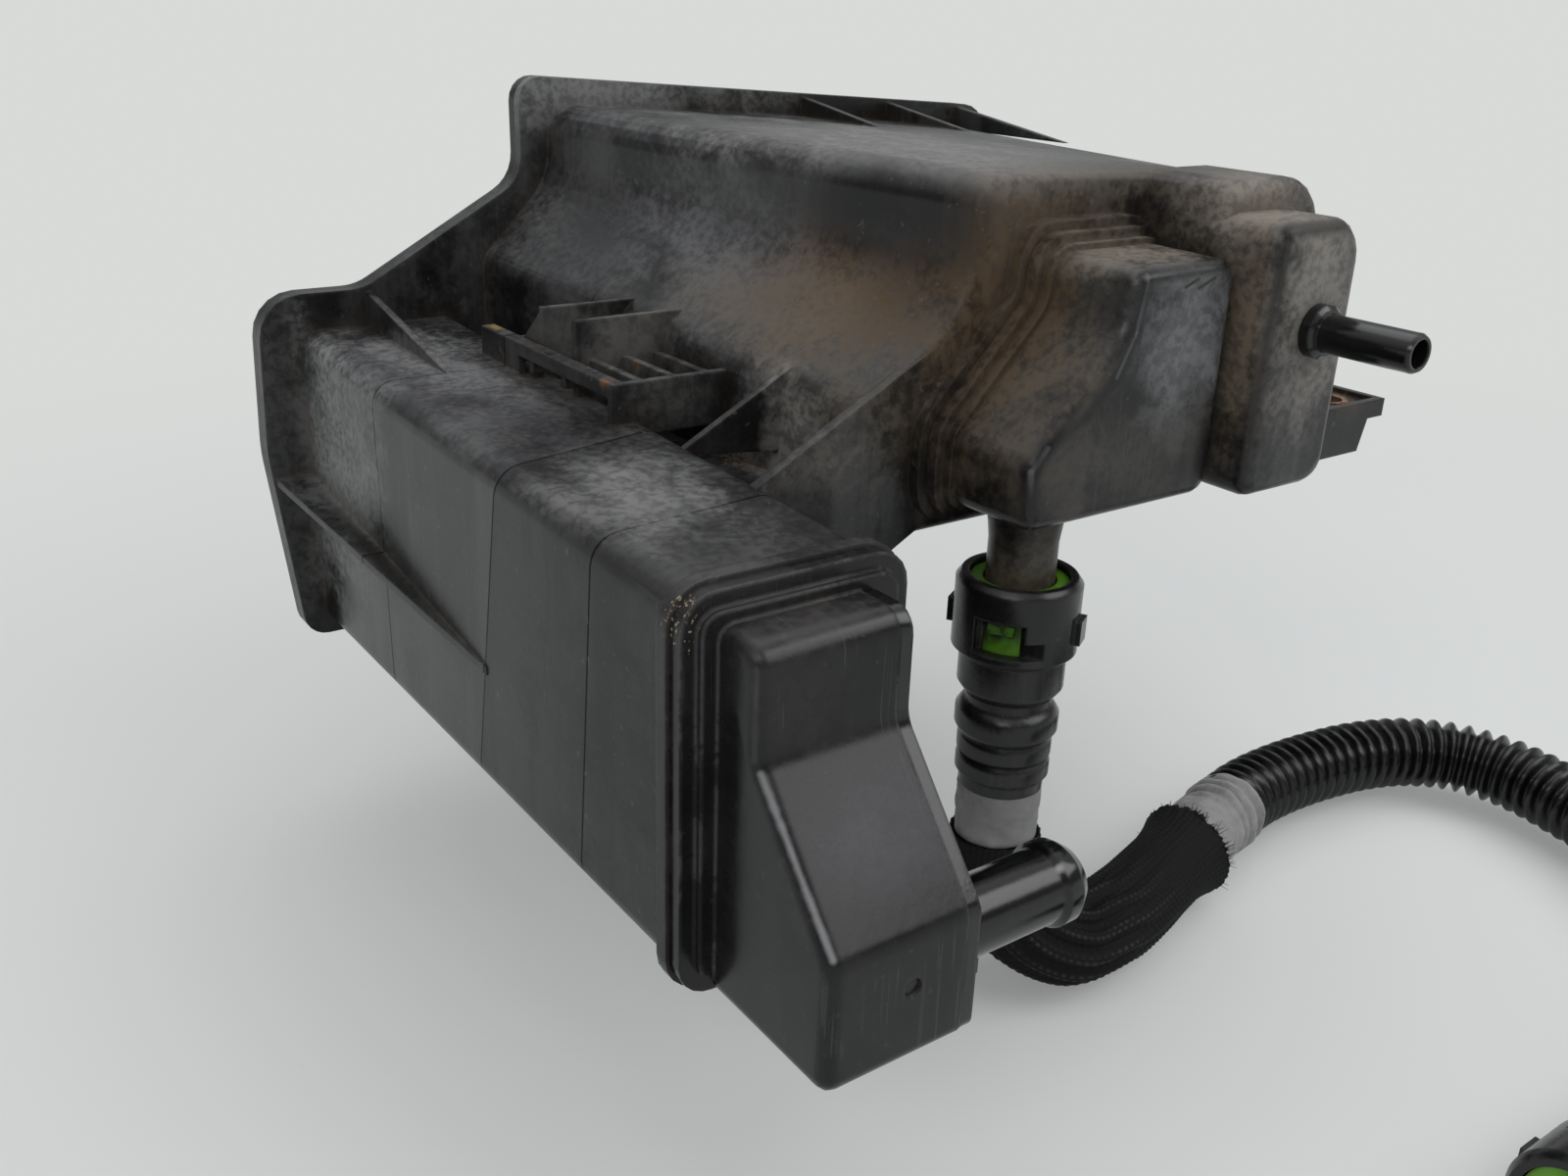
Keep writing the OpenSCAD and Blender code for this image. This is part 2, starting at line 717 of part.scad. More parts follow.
// Hood's outline as a profile in y and z, moved in by d and kept in front of the flange
function hood_profile(d, back) = [for (p = rounded(grown(hood_outline, -d))) [-rim_t - max(back, p.x), p.y]];

// Side cap: hooded plenum on a weld flange, its right side closed by the vent port's plate
module side_cap() {
    color(black)
        difference() {
            union() {
                skin(concat([for (k = [0:edge_steps])
                                let (a = 90 * k / edge_steps)
                                hood_ring(hood_edge_r * (1 - sin(a)), hood_x + hood_edge_r * (1 - cos(a)))],
                            [hood_ring(0, port_x)]));
                slab(grown(side_front, cap_flange_out), -rim_t, 0);
                slab(grown(side_front, -hood_base_in), -rim_t - hood_base_in, -rim_t + lap);
            }
            upright(hood_x + wall + hood_w / 2, hood_w, hood_profile(wall, -lap));
            translate([hood_x + wall, -rim_t - hood_base_in - lap, hood_low + wall])
                cube([hood_w - port_plate_t - 2 * wall, rim_t + hood_base_in + 2 * lap, brow_h]);
            translate([gate_at.x, -rim_t - hood_reach + gate_depth, gate_at.y])
                rotate([90, 0, 0])
                    cylinder(d = gate_d, h = gate_depth + lap);
        }
}

// Vent port: plate welded to the hood's right side, with a beaded spigot and a stepped foot under it
module vent_port() {
    r = vent_d / 2;
    tip = port_plate_t + vent_len;
    root = 1.5;
    foot_w = 8;
    color(gloss_black)
        difference() {
            union() {
                upright(port_x + port_plate_t / 2, port_plate_t, hood_profile(plate_inset, hood_base_in + slip));
                translate([port_x, vent_y, vent_z])
                    rotate([0, 90, 0])
                        rotate_extrude()
                            polygon([[0, lap], [r + root, lap], [r + root, port_plate_t + root],
                                     [r, port_plate_t + 2 * root], [r, tip - bead_w - vent_bead],
                                     [r + vent_bead, tip - bead_w], [r + vent_bead, tip - bead_w / 2],
                                     [r, tip - bead_w / 5], [r - spigot_wall / 2, tip], [0, tip]]);
                translate([port_x + lap, vent_y - foot_w / 2, vent_z - r - 4])
                    cube([port_plate_t + 8, foot_w, 5]);
                translate([port_x + lap, vent_y - foot_w / 2, vent_z - r - 9])
                    cube([port_plate_t + 5, foot_w, 4]);
            }
            translate([port_x - lap, vent_y, vent_z])
                rotate([0, 90, 0])
                    cylinder(r = r - spigot_wall, h = tip + 2 * lap);
        }
}

// Main cap: S-sided plenum on a weld flange, with the vapour spigot under it
module main_cap() {
    r = spigot_d / 2;
    flange = kept_left(grown(cap_outline, cap_rim_out), block_x - slip);
    base = kept_left(grown(cap_outline, cap_base_out), block_x - slip);
    color(dusty)
        difference() {
            union() {
                softened(cap_outline, cap_front_y, grown(cap_outline, cap_draft), cap_back_y + lap, cap_edge_r);
                slab(flange, cap_back_y, main_joint_y);
                slab(base, cap_back_y - cap_base_t, cap_back_y + lap);
                translate([spigot_at.x, spigot_at.y, spigot_end])
                    rotate_extrude()
                        polygon([[0, 0], [r - 0.6, 0], [r, 1.5], [r, spigot_len - spigot_root_h],
                                 [r + spigot_root, spigot_len - lap], [r + spigot_root, spigot_len + wall / 2],
                                 [0, spigot_len + wall / 2]]);
            }
            slab(grown(cap_outline, -wall), cap_front_y + wall, main_joint_y + lap);
            translate([spigot_at.x, spigot_at.y, spigot_end - lap])
                cylinder(r = r - spigot_wall, h = spigot_len + wall + 2 * lap);
        }
}

// Purge port: glossy spigot with a collar, its stem seated in the dome's front
module purge_port() {
    r = purge_d / 2;
    color(gloss_black)
        translate([purge_at.x, dome_front_y, purge_at.y])
            rotate([90, 0, 0])
                rotate_extrude()
                    polygon([[r - purge_wall, -wall], [r, -wall], [r, 0], [purge_collar_d / 2, 0],
                             [purge_collar_d / 2, purge_collar_t - 1], [purge_collar_d / 2 - 1, purge_collar_t],
                             [r, purge_collar_t], [r, purge_len - 1], [r - 0.6, purge_len],
                             [r - purge_wall, purge_len]]);
}

// Steel bush pressed into the lug
module lug_bush() {
    color(steel)
        translate([bush_at.x, bush_at.y, lug_top - lug_h])
            difference() {
                cylinder(d = bush_d, h = lug_h + bush_proud);
                translate([0, 0, -lap])
                    cylinder(d = bush_bore, h = lug_h + 2 * lap);
            }
}

// Slots of a grid plate over the box from low to high in x and z, cut through the plate at y
module grid_slots(low, high, y, pitch, bar) {
    columns = floor((high.x - low.x) / pitch);
    rows = floor((high.y - low.y) / (2 * pitch));
    spare = [high.x - low.x - columns * pitch, high.y - low.y - rows * 2 * pitch];
    for (i = [0:columns - 1], j = [0:rows - 1])
        translate([low.x + spare.x / 2 + i * pitch + bar / 2, y - lap,
                   low.y + spare.y / 2 + j * 2 * pitch + bar / 2])
            cube([pitch - bar, plate_t + 2 * lap, 2 * pitch - bar]);
}

// Box of the side chamber that its grid and pressure plate may be slotted in
side_low = [wall + grid_edge, rim_out + wall + grid_edge];
side_high = [side_w - wall - grid_edge, rim_out + side_h - wall - grid_edge];

module side_front_grid() {
    color(black)
        difference() {
            side_loft(side_grid_y, side_fleece_y, wall + slip);
            grid_slots(side_low, side_high, side_grid_y, grid_pitch, grid_bar);
        }
}

module side_front_fleece() {
    color(fleece_white) side_loft(side_fleece_y, side_bed_y, wall + slip);
}

module side_carbon_bed() {
    color(carbon) side_loft(side_bed_y, rear_fleece_y, wall + slip);
}

module side_rear_fleece() {
    color(fleece_white) side_loft(rear_fleece_y, rear_fleece_y + fleece_t, wall + slip);
}

// Ring cups that centre the springs on a pressure plate
module spring_cups(places) {
    inner = coil_d + wire_d + 2 * slip;
    for (p = places)
        translate([p.x, press_y + cup_h, p.y])
            rotate([90, 0, 0])
                difference() {
                    cylinder(d = inner + 2 * cup_wall, h = cup_h + plate_t / 2);
                    translate([0, 0, -lap])
                        cylinder(d = inner, h = cup_h + lap);
                }
}

module side_pressure_plate() {
    color(black)
        difference() {
            union() {
                side_loft(press_y - plate_t, press_y, wall + slip);
                spring_cups(side_springs_at);
            }
            grid_slots(side_low, side_high, press_y - plate_t, grid_pitch, 1.6 * grid_bar);
        }
}

// Compression spring along y, from the pressure plate to the cover
module spring(p) {
    start = press_y + seat_gap + wire_d / 2;
    rise = spring_end - seat_gap - wire_d / 2 - start;
    steps = spring_turns * turn_steps;
    skin([for (k = [0:steps])
        let (a = 360 * k / turn_steps, out = [cos(a), 0, sin(a)],
             c = [p.x, start + rise * k / steps, p.y] + out * coil_d / 2)
        [for (j = [0:wire_sides - 1])
            let (b = 360 * j / wire_sides)
            c + wire_d / 2 * (cos(b) * out - sin(b) * [0, 1, 0])]]);
}

module side_springs() {
    color(steel) for (p = side_springs_at) spring(p);
}

module main_front_grid() {
    right = right_x - wall - grid_edge;
    color(black)
        difference() {
            main_loft(main_grid_y, main_fleece_y, wall + slip);
            grid_slots([foot_x + wall + grid_edge, main_z + wall + grid_edge], [right, main_z + toe_h],
                       main_grid_y, grid_pitch, grid_bar);
            grid_slots([foot_x + step_w + wall + grid_edge, main_z + toe_h],
                       [right, main_z + main_h - top_fall - wall - grid_edge], main_grid_y, grid_pitch, grid_bar);
        }
}

module main_front_fleece() {
    color(fleece_white) main_loft(main_fleece_y, main_bed_y, wall + slip);
}

module main_carbon_bed() {
    color(carbon) main_loft(main_bed_y, rear_fleece_y, wall + slip);
}

module main_rear_fleece() {
    color(fleece_white) main_loft(rear_fleece_y, rear_fleece_y + fleece_t, wall + slip);
}

module main_pressure_plate() {
    color(black)
        difference() {
            union() {
                main_loft(press_y - plate_t, press_y, wall + slip);
                spring_cups(main_springs_at);
            }
            grid_slots([foot_x + step_w, main_z + wall + grid_edge],
                       [right_x + foot_spread / 2, main_z + main_h - top_fall - crown_r],
                       press_y - plate_t, 1.4 * grid_pitch, 1.6 * grid_bar);
        }
}

module main_springs() {
    color(steel) for (p = main_springs_at) spring(p);
}

// Quick connector on the z axis, its mouth up at z = 0
module quick_connector() {
    c = collar_d / 2;
    b = barrel_d / 2;
    w = bulge_d / 2;
    t = barb_d / 2;
    n = neck_d / 2;
    barb_points = [for (k = [barbs - 1:-1:0])
        let (z = -barb_z - k * barb_h)
        each [[n, z - barb_h], [t, z - barb_h + 1.5], [t, z - 1.5], [n + 0.6, z]]];
    difference() {
        rotate_extrude()
            polygon(concat([[tail_bore / 2, -tail_end], [cuff_d / 2, -tail_end]], barb_points,
                           [[w - 0.8, -bulge_z - bulge_h / 2 + 0.8], [w, -bulge_z - bulge_h / 4],
                            [w, -bulge_z + bulge_h / 4], [w - 1.5, -bulge_z + bulge_h / 2],
                            [n, -bulge_z + bulge_h / 2 + 0.5], [n, -barrel_end], [b - 2, -barrel_end],
                            [b, -barrel_end + 3], [b, -collar_h - 1], [c - 1, -collar_h], [c, -collar_h + 1],
                            [c, -2], [c - 1.5, 0], [c - collar_wall, 0], [c - collar_wall, -collar_h + 1],
                            [groove_r, -collar_h + 1], [groove_r, -seal_end], [socket_r, -seal_end],
                            [socket_r, -socket_end], [tail_bore / 2, -socket_end]]));
        for (a = [0, 180])
            rotate(a) {
                translate([-window_w / 2, -collar_d / 2 - lap, -collar_h + 3])
                    cube([window_w, collar_wall + 2 * lap, window_h]);
                translate([window_w / 2 - lap, -collar_d / 2 - lap, -collar_h + 3])
                    cube([notch_w + lap, collar_wall + 2 * lap, notch_h]);
            }
    }
    for (a = [0, 180])
        rotate(a)
            translate([c - 1, -3, -collar_h + 5])
                cube([2.5, 6, 7]);
}

// Retainer in the collar, its two ears showing in the windows
module retainer() {
    outer = collar_d / 2 - collar_wall - slip;
    ear = 1.8;
    difference() {
        union() {
            translate([0, 0, -collar_h + 1])
                cylinder(r = outer, h = collar_h - 2.5);
            for (a = [0, 180])
                rotate(a)
                    translate([-window_w / 2 + slip + 3, -outer - ear, -collar_h + 9])
                        cube([window_w - 2 * slip - 6, 2 * ear, 3]);
        }
        translate([0, 0, -collar_h])
            cylinder(r = socket_r + slip, h = collar_h + lap);
    }
}

// Two sealing rings under the retainer
module seals() {
    for (z = [-seal_top - ring_d / 2, -seal_end + ring_d / 2])
        translate([0, 0, z])
            rotate_extrude()
                translate([(socket_r + groove_r) / 2, 0])
                    circle(d = groove_r - socket_r - 2 * seal_clear);
}

// Spacer ring between the sealing rings
module spacer() {
    translate([0, 0, -seal_top - ring_d - spacer_t])
        difference() {
            cylinder(r = groove_r - spacer_clear, h = spacer_t);
            translate([0, 0, -lap])
                cylinder(r = socket_r + spacer_clear, h = spacer_t + 2 * lap);
        }
}

module at_spigot() {
    translate([spigot_at.x, spigot_at.y, mouth_z]) rotate(-connector_turn) children();
}

module at_hose_end() {
    translate(end_at + tail_end * end_heading) rotate([0, -90, 0]) rotate([0, 0, 90]) children();
}

module connector_body() {
    color(gloss_black) at_spigot() quick_connector();
}

module connector_retainer() {
    color(green) at_spigot() retainer();
}

module connector_seals() {
    color(black) at_spigot() seals();
}

module connector_spacer() {
    color(fleece_white) at_spigot() spacer();
}

module end_connector() {
    color(gloss_black) at_hose_end() quick_connector();
}

module end_retainer() {
    color(green) at_hose_end() retainer();
}

module end_seals() {
    color(black) at_hose_end() seals();
}

module end_spacer() {
    color(fleece_white) at_hose_end() spacer();
}

// Direction of a route at point i
function heading(route, i) = unit(route[min(i + 1, len(route) - 1)] - route[max(i - 1, 0)]);

// Round tube swept along a route, with the given headings at its two ends
module hose_along(route, d, first, final) {
    lean = [0.3, 0.5, 0.8];
    last = len(route) - 1;
    skin([for (i = [0:last])
        let (t = i == 0 ? first : i == last ? final : heading(route, i),
             u = unit(cross(t, lean)), v = cross(t, u))
        [for (j = [0:hose_sides - 1])
            let (a = 360 * j / hose_sides)
            route[i] + d / 2 * (cos(a) * u - sin(a) * v)]]);
}

sleeve_heading = unit(tape_route[1] - sleeve_route[len(sleeve_route) - 2]);
tape_heading = unit(hose_route[1] - tape_route[len(tape_route) - 2]);

module hose_cuff() {
    color(tape_grey) hose_along(cuff_route, cuff_d, down, down);
}

module braided_sleeve() {
    color(black) hose_along(sleeve_route, sleeve_d, down, sleeve_heading);
}

module tape_wrap() {
    color(tape_grey) hose_along(tape_route, tape_d, sleeve_heading, tape_heading);
}

module corrugated_hose() {
    color(black) hose_along(hose_route, hose_d, tape_heading, end_heading);
}

translate(-origin) {
    canister_body();
    rear_cover();
    side_cap();
    vent_port();
    main_cap();
    purge_port();
    lug_bush();
    side_front_grid();
    side_front_fleece();
    side_carbon_bed();
    side_rear_fleece();
    side_pressure_plate();
    side_springs();
    main_front_grid();
    main_front_fleece();
    main_carbon_bed();
    main_rear_fleece();
    main_pressure_plate();
    main_springs();
    connector_body();
    connector_retainer();
    connector_seals();
    connector_spacer();
    hose_cuff();
    braided_sleeve();
    tape_wrap();
    corrugated_hose();
    end_connector();
    end_retainer();
    end_seals();
    end_spacer();
}
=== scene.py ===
import math
import random

import bmesh
import bpy
from mathutils import Matrix, Vector, noise


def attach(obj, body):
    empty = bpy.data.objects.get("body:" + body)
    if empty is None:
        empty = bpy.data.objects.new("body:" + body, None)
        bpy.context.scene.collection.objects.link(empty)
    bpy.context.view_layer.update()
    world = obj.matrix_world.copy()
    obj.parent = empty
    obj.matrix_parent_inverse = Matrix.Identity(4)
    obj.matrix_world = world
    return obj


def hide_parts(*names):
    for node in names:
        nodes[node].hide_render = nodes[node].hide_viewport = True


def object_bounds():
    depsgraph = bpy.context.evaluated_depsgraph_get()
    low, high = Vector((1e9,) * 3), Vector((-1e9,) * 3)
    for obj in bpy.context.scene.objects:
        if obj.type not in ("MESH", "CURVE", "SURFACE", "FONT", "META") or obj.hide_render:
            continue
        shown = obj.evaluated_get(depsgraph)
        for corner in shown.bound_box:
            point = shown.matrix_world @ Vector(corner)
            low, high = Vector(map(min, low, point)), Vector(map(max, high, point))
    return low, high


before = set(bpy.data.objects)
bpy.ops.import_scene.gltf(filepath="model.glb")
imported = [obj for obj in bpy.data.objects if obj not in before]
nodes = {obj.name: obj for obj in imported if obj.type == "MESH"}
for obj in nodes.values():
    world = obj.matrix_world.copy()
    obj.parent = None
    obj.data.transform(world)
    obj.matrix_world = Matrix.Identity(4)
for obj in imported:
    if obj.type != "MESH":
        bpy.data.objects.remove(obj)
cad_box = [list(corner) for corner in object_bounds()]
scene = bpy.context.scene
scene.view_settings.view_transform = "Standard"

# Camera: a hand-held view from the front left, a little above the canister and looking down on it,
# with a moderate wide lens. The picture is 1600 by 1200.
camera_place = Vector((-0.20625, -0.37206, 0.08795))
yaw, pitch, roll = (math.radians(a) for a in (35.877, 22.574, -1.854))
ahead = Vector((math.sin(yaw) * math.cos(pitch), math.cos(yaw) * math.cos(pitch), -math.sin(pitch)))
level_right = Vector((math.cos(yaw), -math.sin(yaw), 0))
level_down = ahead.cross(level_right)
picture_right = math.cos(roll) * level_right + math.sin(roll) * level_down
picture_down = math.cos(roll) * level_down - math.sin(roll) * level_right
camera_data = bpy.data.cameras.new("camera")
camera_data.sensor_fit = "HORIZONTAL"
camera_data.sensor_width = 36
camera_data.lens = 33.112
camera_data.clip_start, camera_data.clip_end = 0.01, 30
camera = bpy.data.objects.new("camera", camera_data)
camera.matrix_world = Matrix.Translation(camera_place) @ Matrix(
    (picture_right, -picture_down, -ahead)).transposed().to_4x4()
scene.collection.objects.link(camera)
scene.camera = camera


# Moulded body: both chambers, their weld rims, the purge dome, bracket, lug and ribs in one black
# nylon moulding. Years under a car have greyed it with dust, and brown dirt sits on the flare
# between the chambers and in the corners. Two pale patches on the left walls are painted light: a
# painted reflection on the side chamber, and a brightened patch on the main chamber's shaded wall.
class Finish:
    """A finish being mixed: one shader, and the nodes that feed its sockets."""

    def __init__(self, name, **sockets):
        self.material = bpy.data.materials.new(name)
        self.material.use_nodes = True
        self.tree = self.material.node_tree
        self.tree.nodes.clear()
        self.shader = self.node("ShaderNodeBsdfPrincipled")
        self.surface = self.node("ShaderNodeOutputMaterial").inputs["Surface"]
        self.tree.links.new(self.shader.outputs["BSDF"], self.surface)
        for socket, value in sockets.items():
            self.shader.inputs[socket.replace("_", " ")].default_value = value
        self.place = self.node("ShaderNodeTexCoord").outputs["Object"]
        self.normal = self.node("ShaderNodeNewGeometry").outputs["Normal"]

    def node(self, kind, **settings):
        """Adds a node of a kind, with its settings."""
        made = self.tree.nodes.new(kind)
        for setting, value in settings.items():
            setattr(made, setting, value)
        return made

    def put(self, value, socket):
        """Sets a socket to a plain value, or links another node's output to it."""
        if isinstance(value, bpy.types.NodeSocket):
            self.tree.links.new(value, socket)
        else:
            socket.default_value = value

    def sum(self, operation, a, b=0.0, clamp=False):
        """Two values put together by one operation."""
        made = self.node("ShaderNodeMath", operation=operation, use_clamp=clamp)
        self.put(a, made.inputs[0])
        self.put(b, made.inputs[1])
        return made.outputs[0]

    def times(self, *values):
        """Product of the values."""
        total = values[0]
        for value in values[1:]:
            total = self.sum("MULTIPLY", total, value)
        return total

    def between(self, value, low, high, to_low=0.0, to_high=1.0):
        """Value eased from low to high."""
        made = self.node("ShaderNodeMapRange", interpolation_type="SMOOTHSTEP")
        for socket, number in zip(made.inputs, (value, low, high, to_low, to_high)):
            self.put(number, socket)
        return made.outputs[0]

    def mix(self, share, first, second):
        """Colour between two others, by a share."""
        made = self.node("ShaderNodeMix", data_type="RGBA")
        self.put(share, made.inputs["Factor"])
        for socket, colour in zip((made.inputs[6], made.inputs[7]), (first, second)):
            self.put(colour if isinstance(colour, bpy.types.NodeSocket) else (*colour, 1), socket)
        return made.outputs[2]

    def stretched(self, scale):
        """Place with each axis multiplied by its own scale."""
        made = self.node("ShaderNodeVectorMath", operation="MULTIPLY")
        self.put(self.place, made.inputs[0])
        made.inputs[1].default_value = scale
        return made.outputs[0]

    def turned(self, turn, scale):
        """Place turned about the three axes, then scaled."""
        made = self.node("ShaderNodeMapping")
        self.put(self.place, made.inputs["Vector"])
        made.inputs["Rotation"].default_value = turn
        made.inputs["Scale"].default_value = scale
        return made.outputs["Vector"]

    def noise(self, scale, detail=4.0, rough=0.6, at=None, warp=0.0):
        """Noise about 0.5, at the piece's own place or another vector."""
        made = self.node("ShaderNodeTexNoise")
        self.put(at or self.place, made.inputs["Vector"])
        for socket, number in {"Scale": scale, "Detail": detail, "Roughness": rough, "Distortion": warp}.items():
            made.inputs[socket].default_value = number
        return made.outputs["Fac"]

    def uneven(self, scale, detail=5.0, rough=0.62, at=None, warp=0.0):
        """Noise about 0, most of it between -1 and 1."""
        spread = 15.0
        return self.times(self.sum("SUBTRACT", self.noise(scale, detail, rough, at, warp), 0.5), spread)

    def axis(self, vector, name):
        """One coordinate of a vector."""
        made = self.node("ShaderNodeSeparateXYZ")
        self.put(vector, made.inputs[0])
        return made.outputs[name]

    def near(self, centre, reach):
        """Distance from centre in shares of reach, a length for each axis."""
        shifted = self.node("ShaderNodeVectorMath", operation="SUBTRACT")
        self.put(self.place, shifted.inputs[0])
        shifted.inputs[1].default_value = centre
        shared = self.node("ShaderNodeVectorMath", operation="DIVIDE")
        self.put(shifted.outputs[0], shared.inputs[0])
        shared.inputs[1].default_value = reach
        length = self.node("ShaderNodeVectorMath", operation="LENGTH")
        self.put(shared.outputs[0], length.inputs[0])
        return length.outputs["Value"]

    def beside(self, start, end, reach):
        """Distance from the line between two points, in shares of reach."""
        run = Vector(end) - Vector(start)
        shifted = self.node("ShaderNodeVectorMath", operation="SUBTRACT")
        self.put(self.place, shifted.inputs[0])
        shifted.inputs[1].default_value = start
        dot = self.node("ShaderNodeVectorMath", operation="DOT_PRODUCT")
        self.put(shifted.outputs[0], dot.inputs[0])
        dot.inputs[1].default_value = run / run.length_squared
        foot = self.node("ShaderNodeVectorMath", operation="SCALE")
        foot.inputs[0].default_value = run
        self.put(self.sum("ADD", dot.outputs["Value"], 0.0, True), foot.inputs["Scale"])
        away = self.node("ShaderNodeVectorMath", operation="DISTANCE")
        self.put(shifted.outputs[0], away.inputs[0])
        self.put(foot.outputs[0], away.inputs[1])
        return self.sum("DIVIDE", away.outputs["Value"], reach)

    def creases(self, reach):
        """How closed in a place is, from 0 on open faces to 1 in deep corners."""
        made = self.node("ShaderNodeAmbientOcclusion", samples=2)
        made.inputs["Distance"].default_value = reach
        return self.sum("SUBTRACT", 1.0, made.outputs["AO"])

    def edges(self, radius):
        """Rounded normal of the edges, and how near an edge a place is."""
        made = self.node("ShaderNodeBevel", samples=2)
        made.inputs["Radius"].default_value = radius
        dot = self.node("ShaderNodeVectorMath", operation="DOT_PRODUCT")
        self.put(made.outputs["Normal"], dot.inputs[0])
        self.put(self.normal, dot.inputs[1])
        return made.outputs["Normal"], self.between(dot.outputs["Value"], 0.985, 0.80)

    def bump(self, height, distance, strength=1.0, normal=None):
        """Fine relief of the surface, over the mesh's normal or another one."""
        made = self.node("ShaderNodeBump")
        made.inputs["Distance"].default_value = distance
        made.inputs["Strength"].default_value = strength
        self.put(height, made.inputs["Height"])
        if normal is not None:
            self.put(normal, made.inputs["Normal"])
        self.put(made.outputs["Normal"], self.shader.inputs["Normal"])


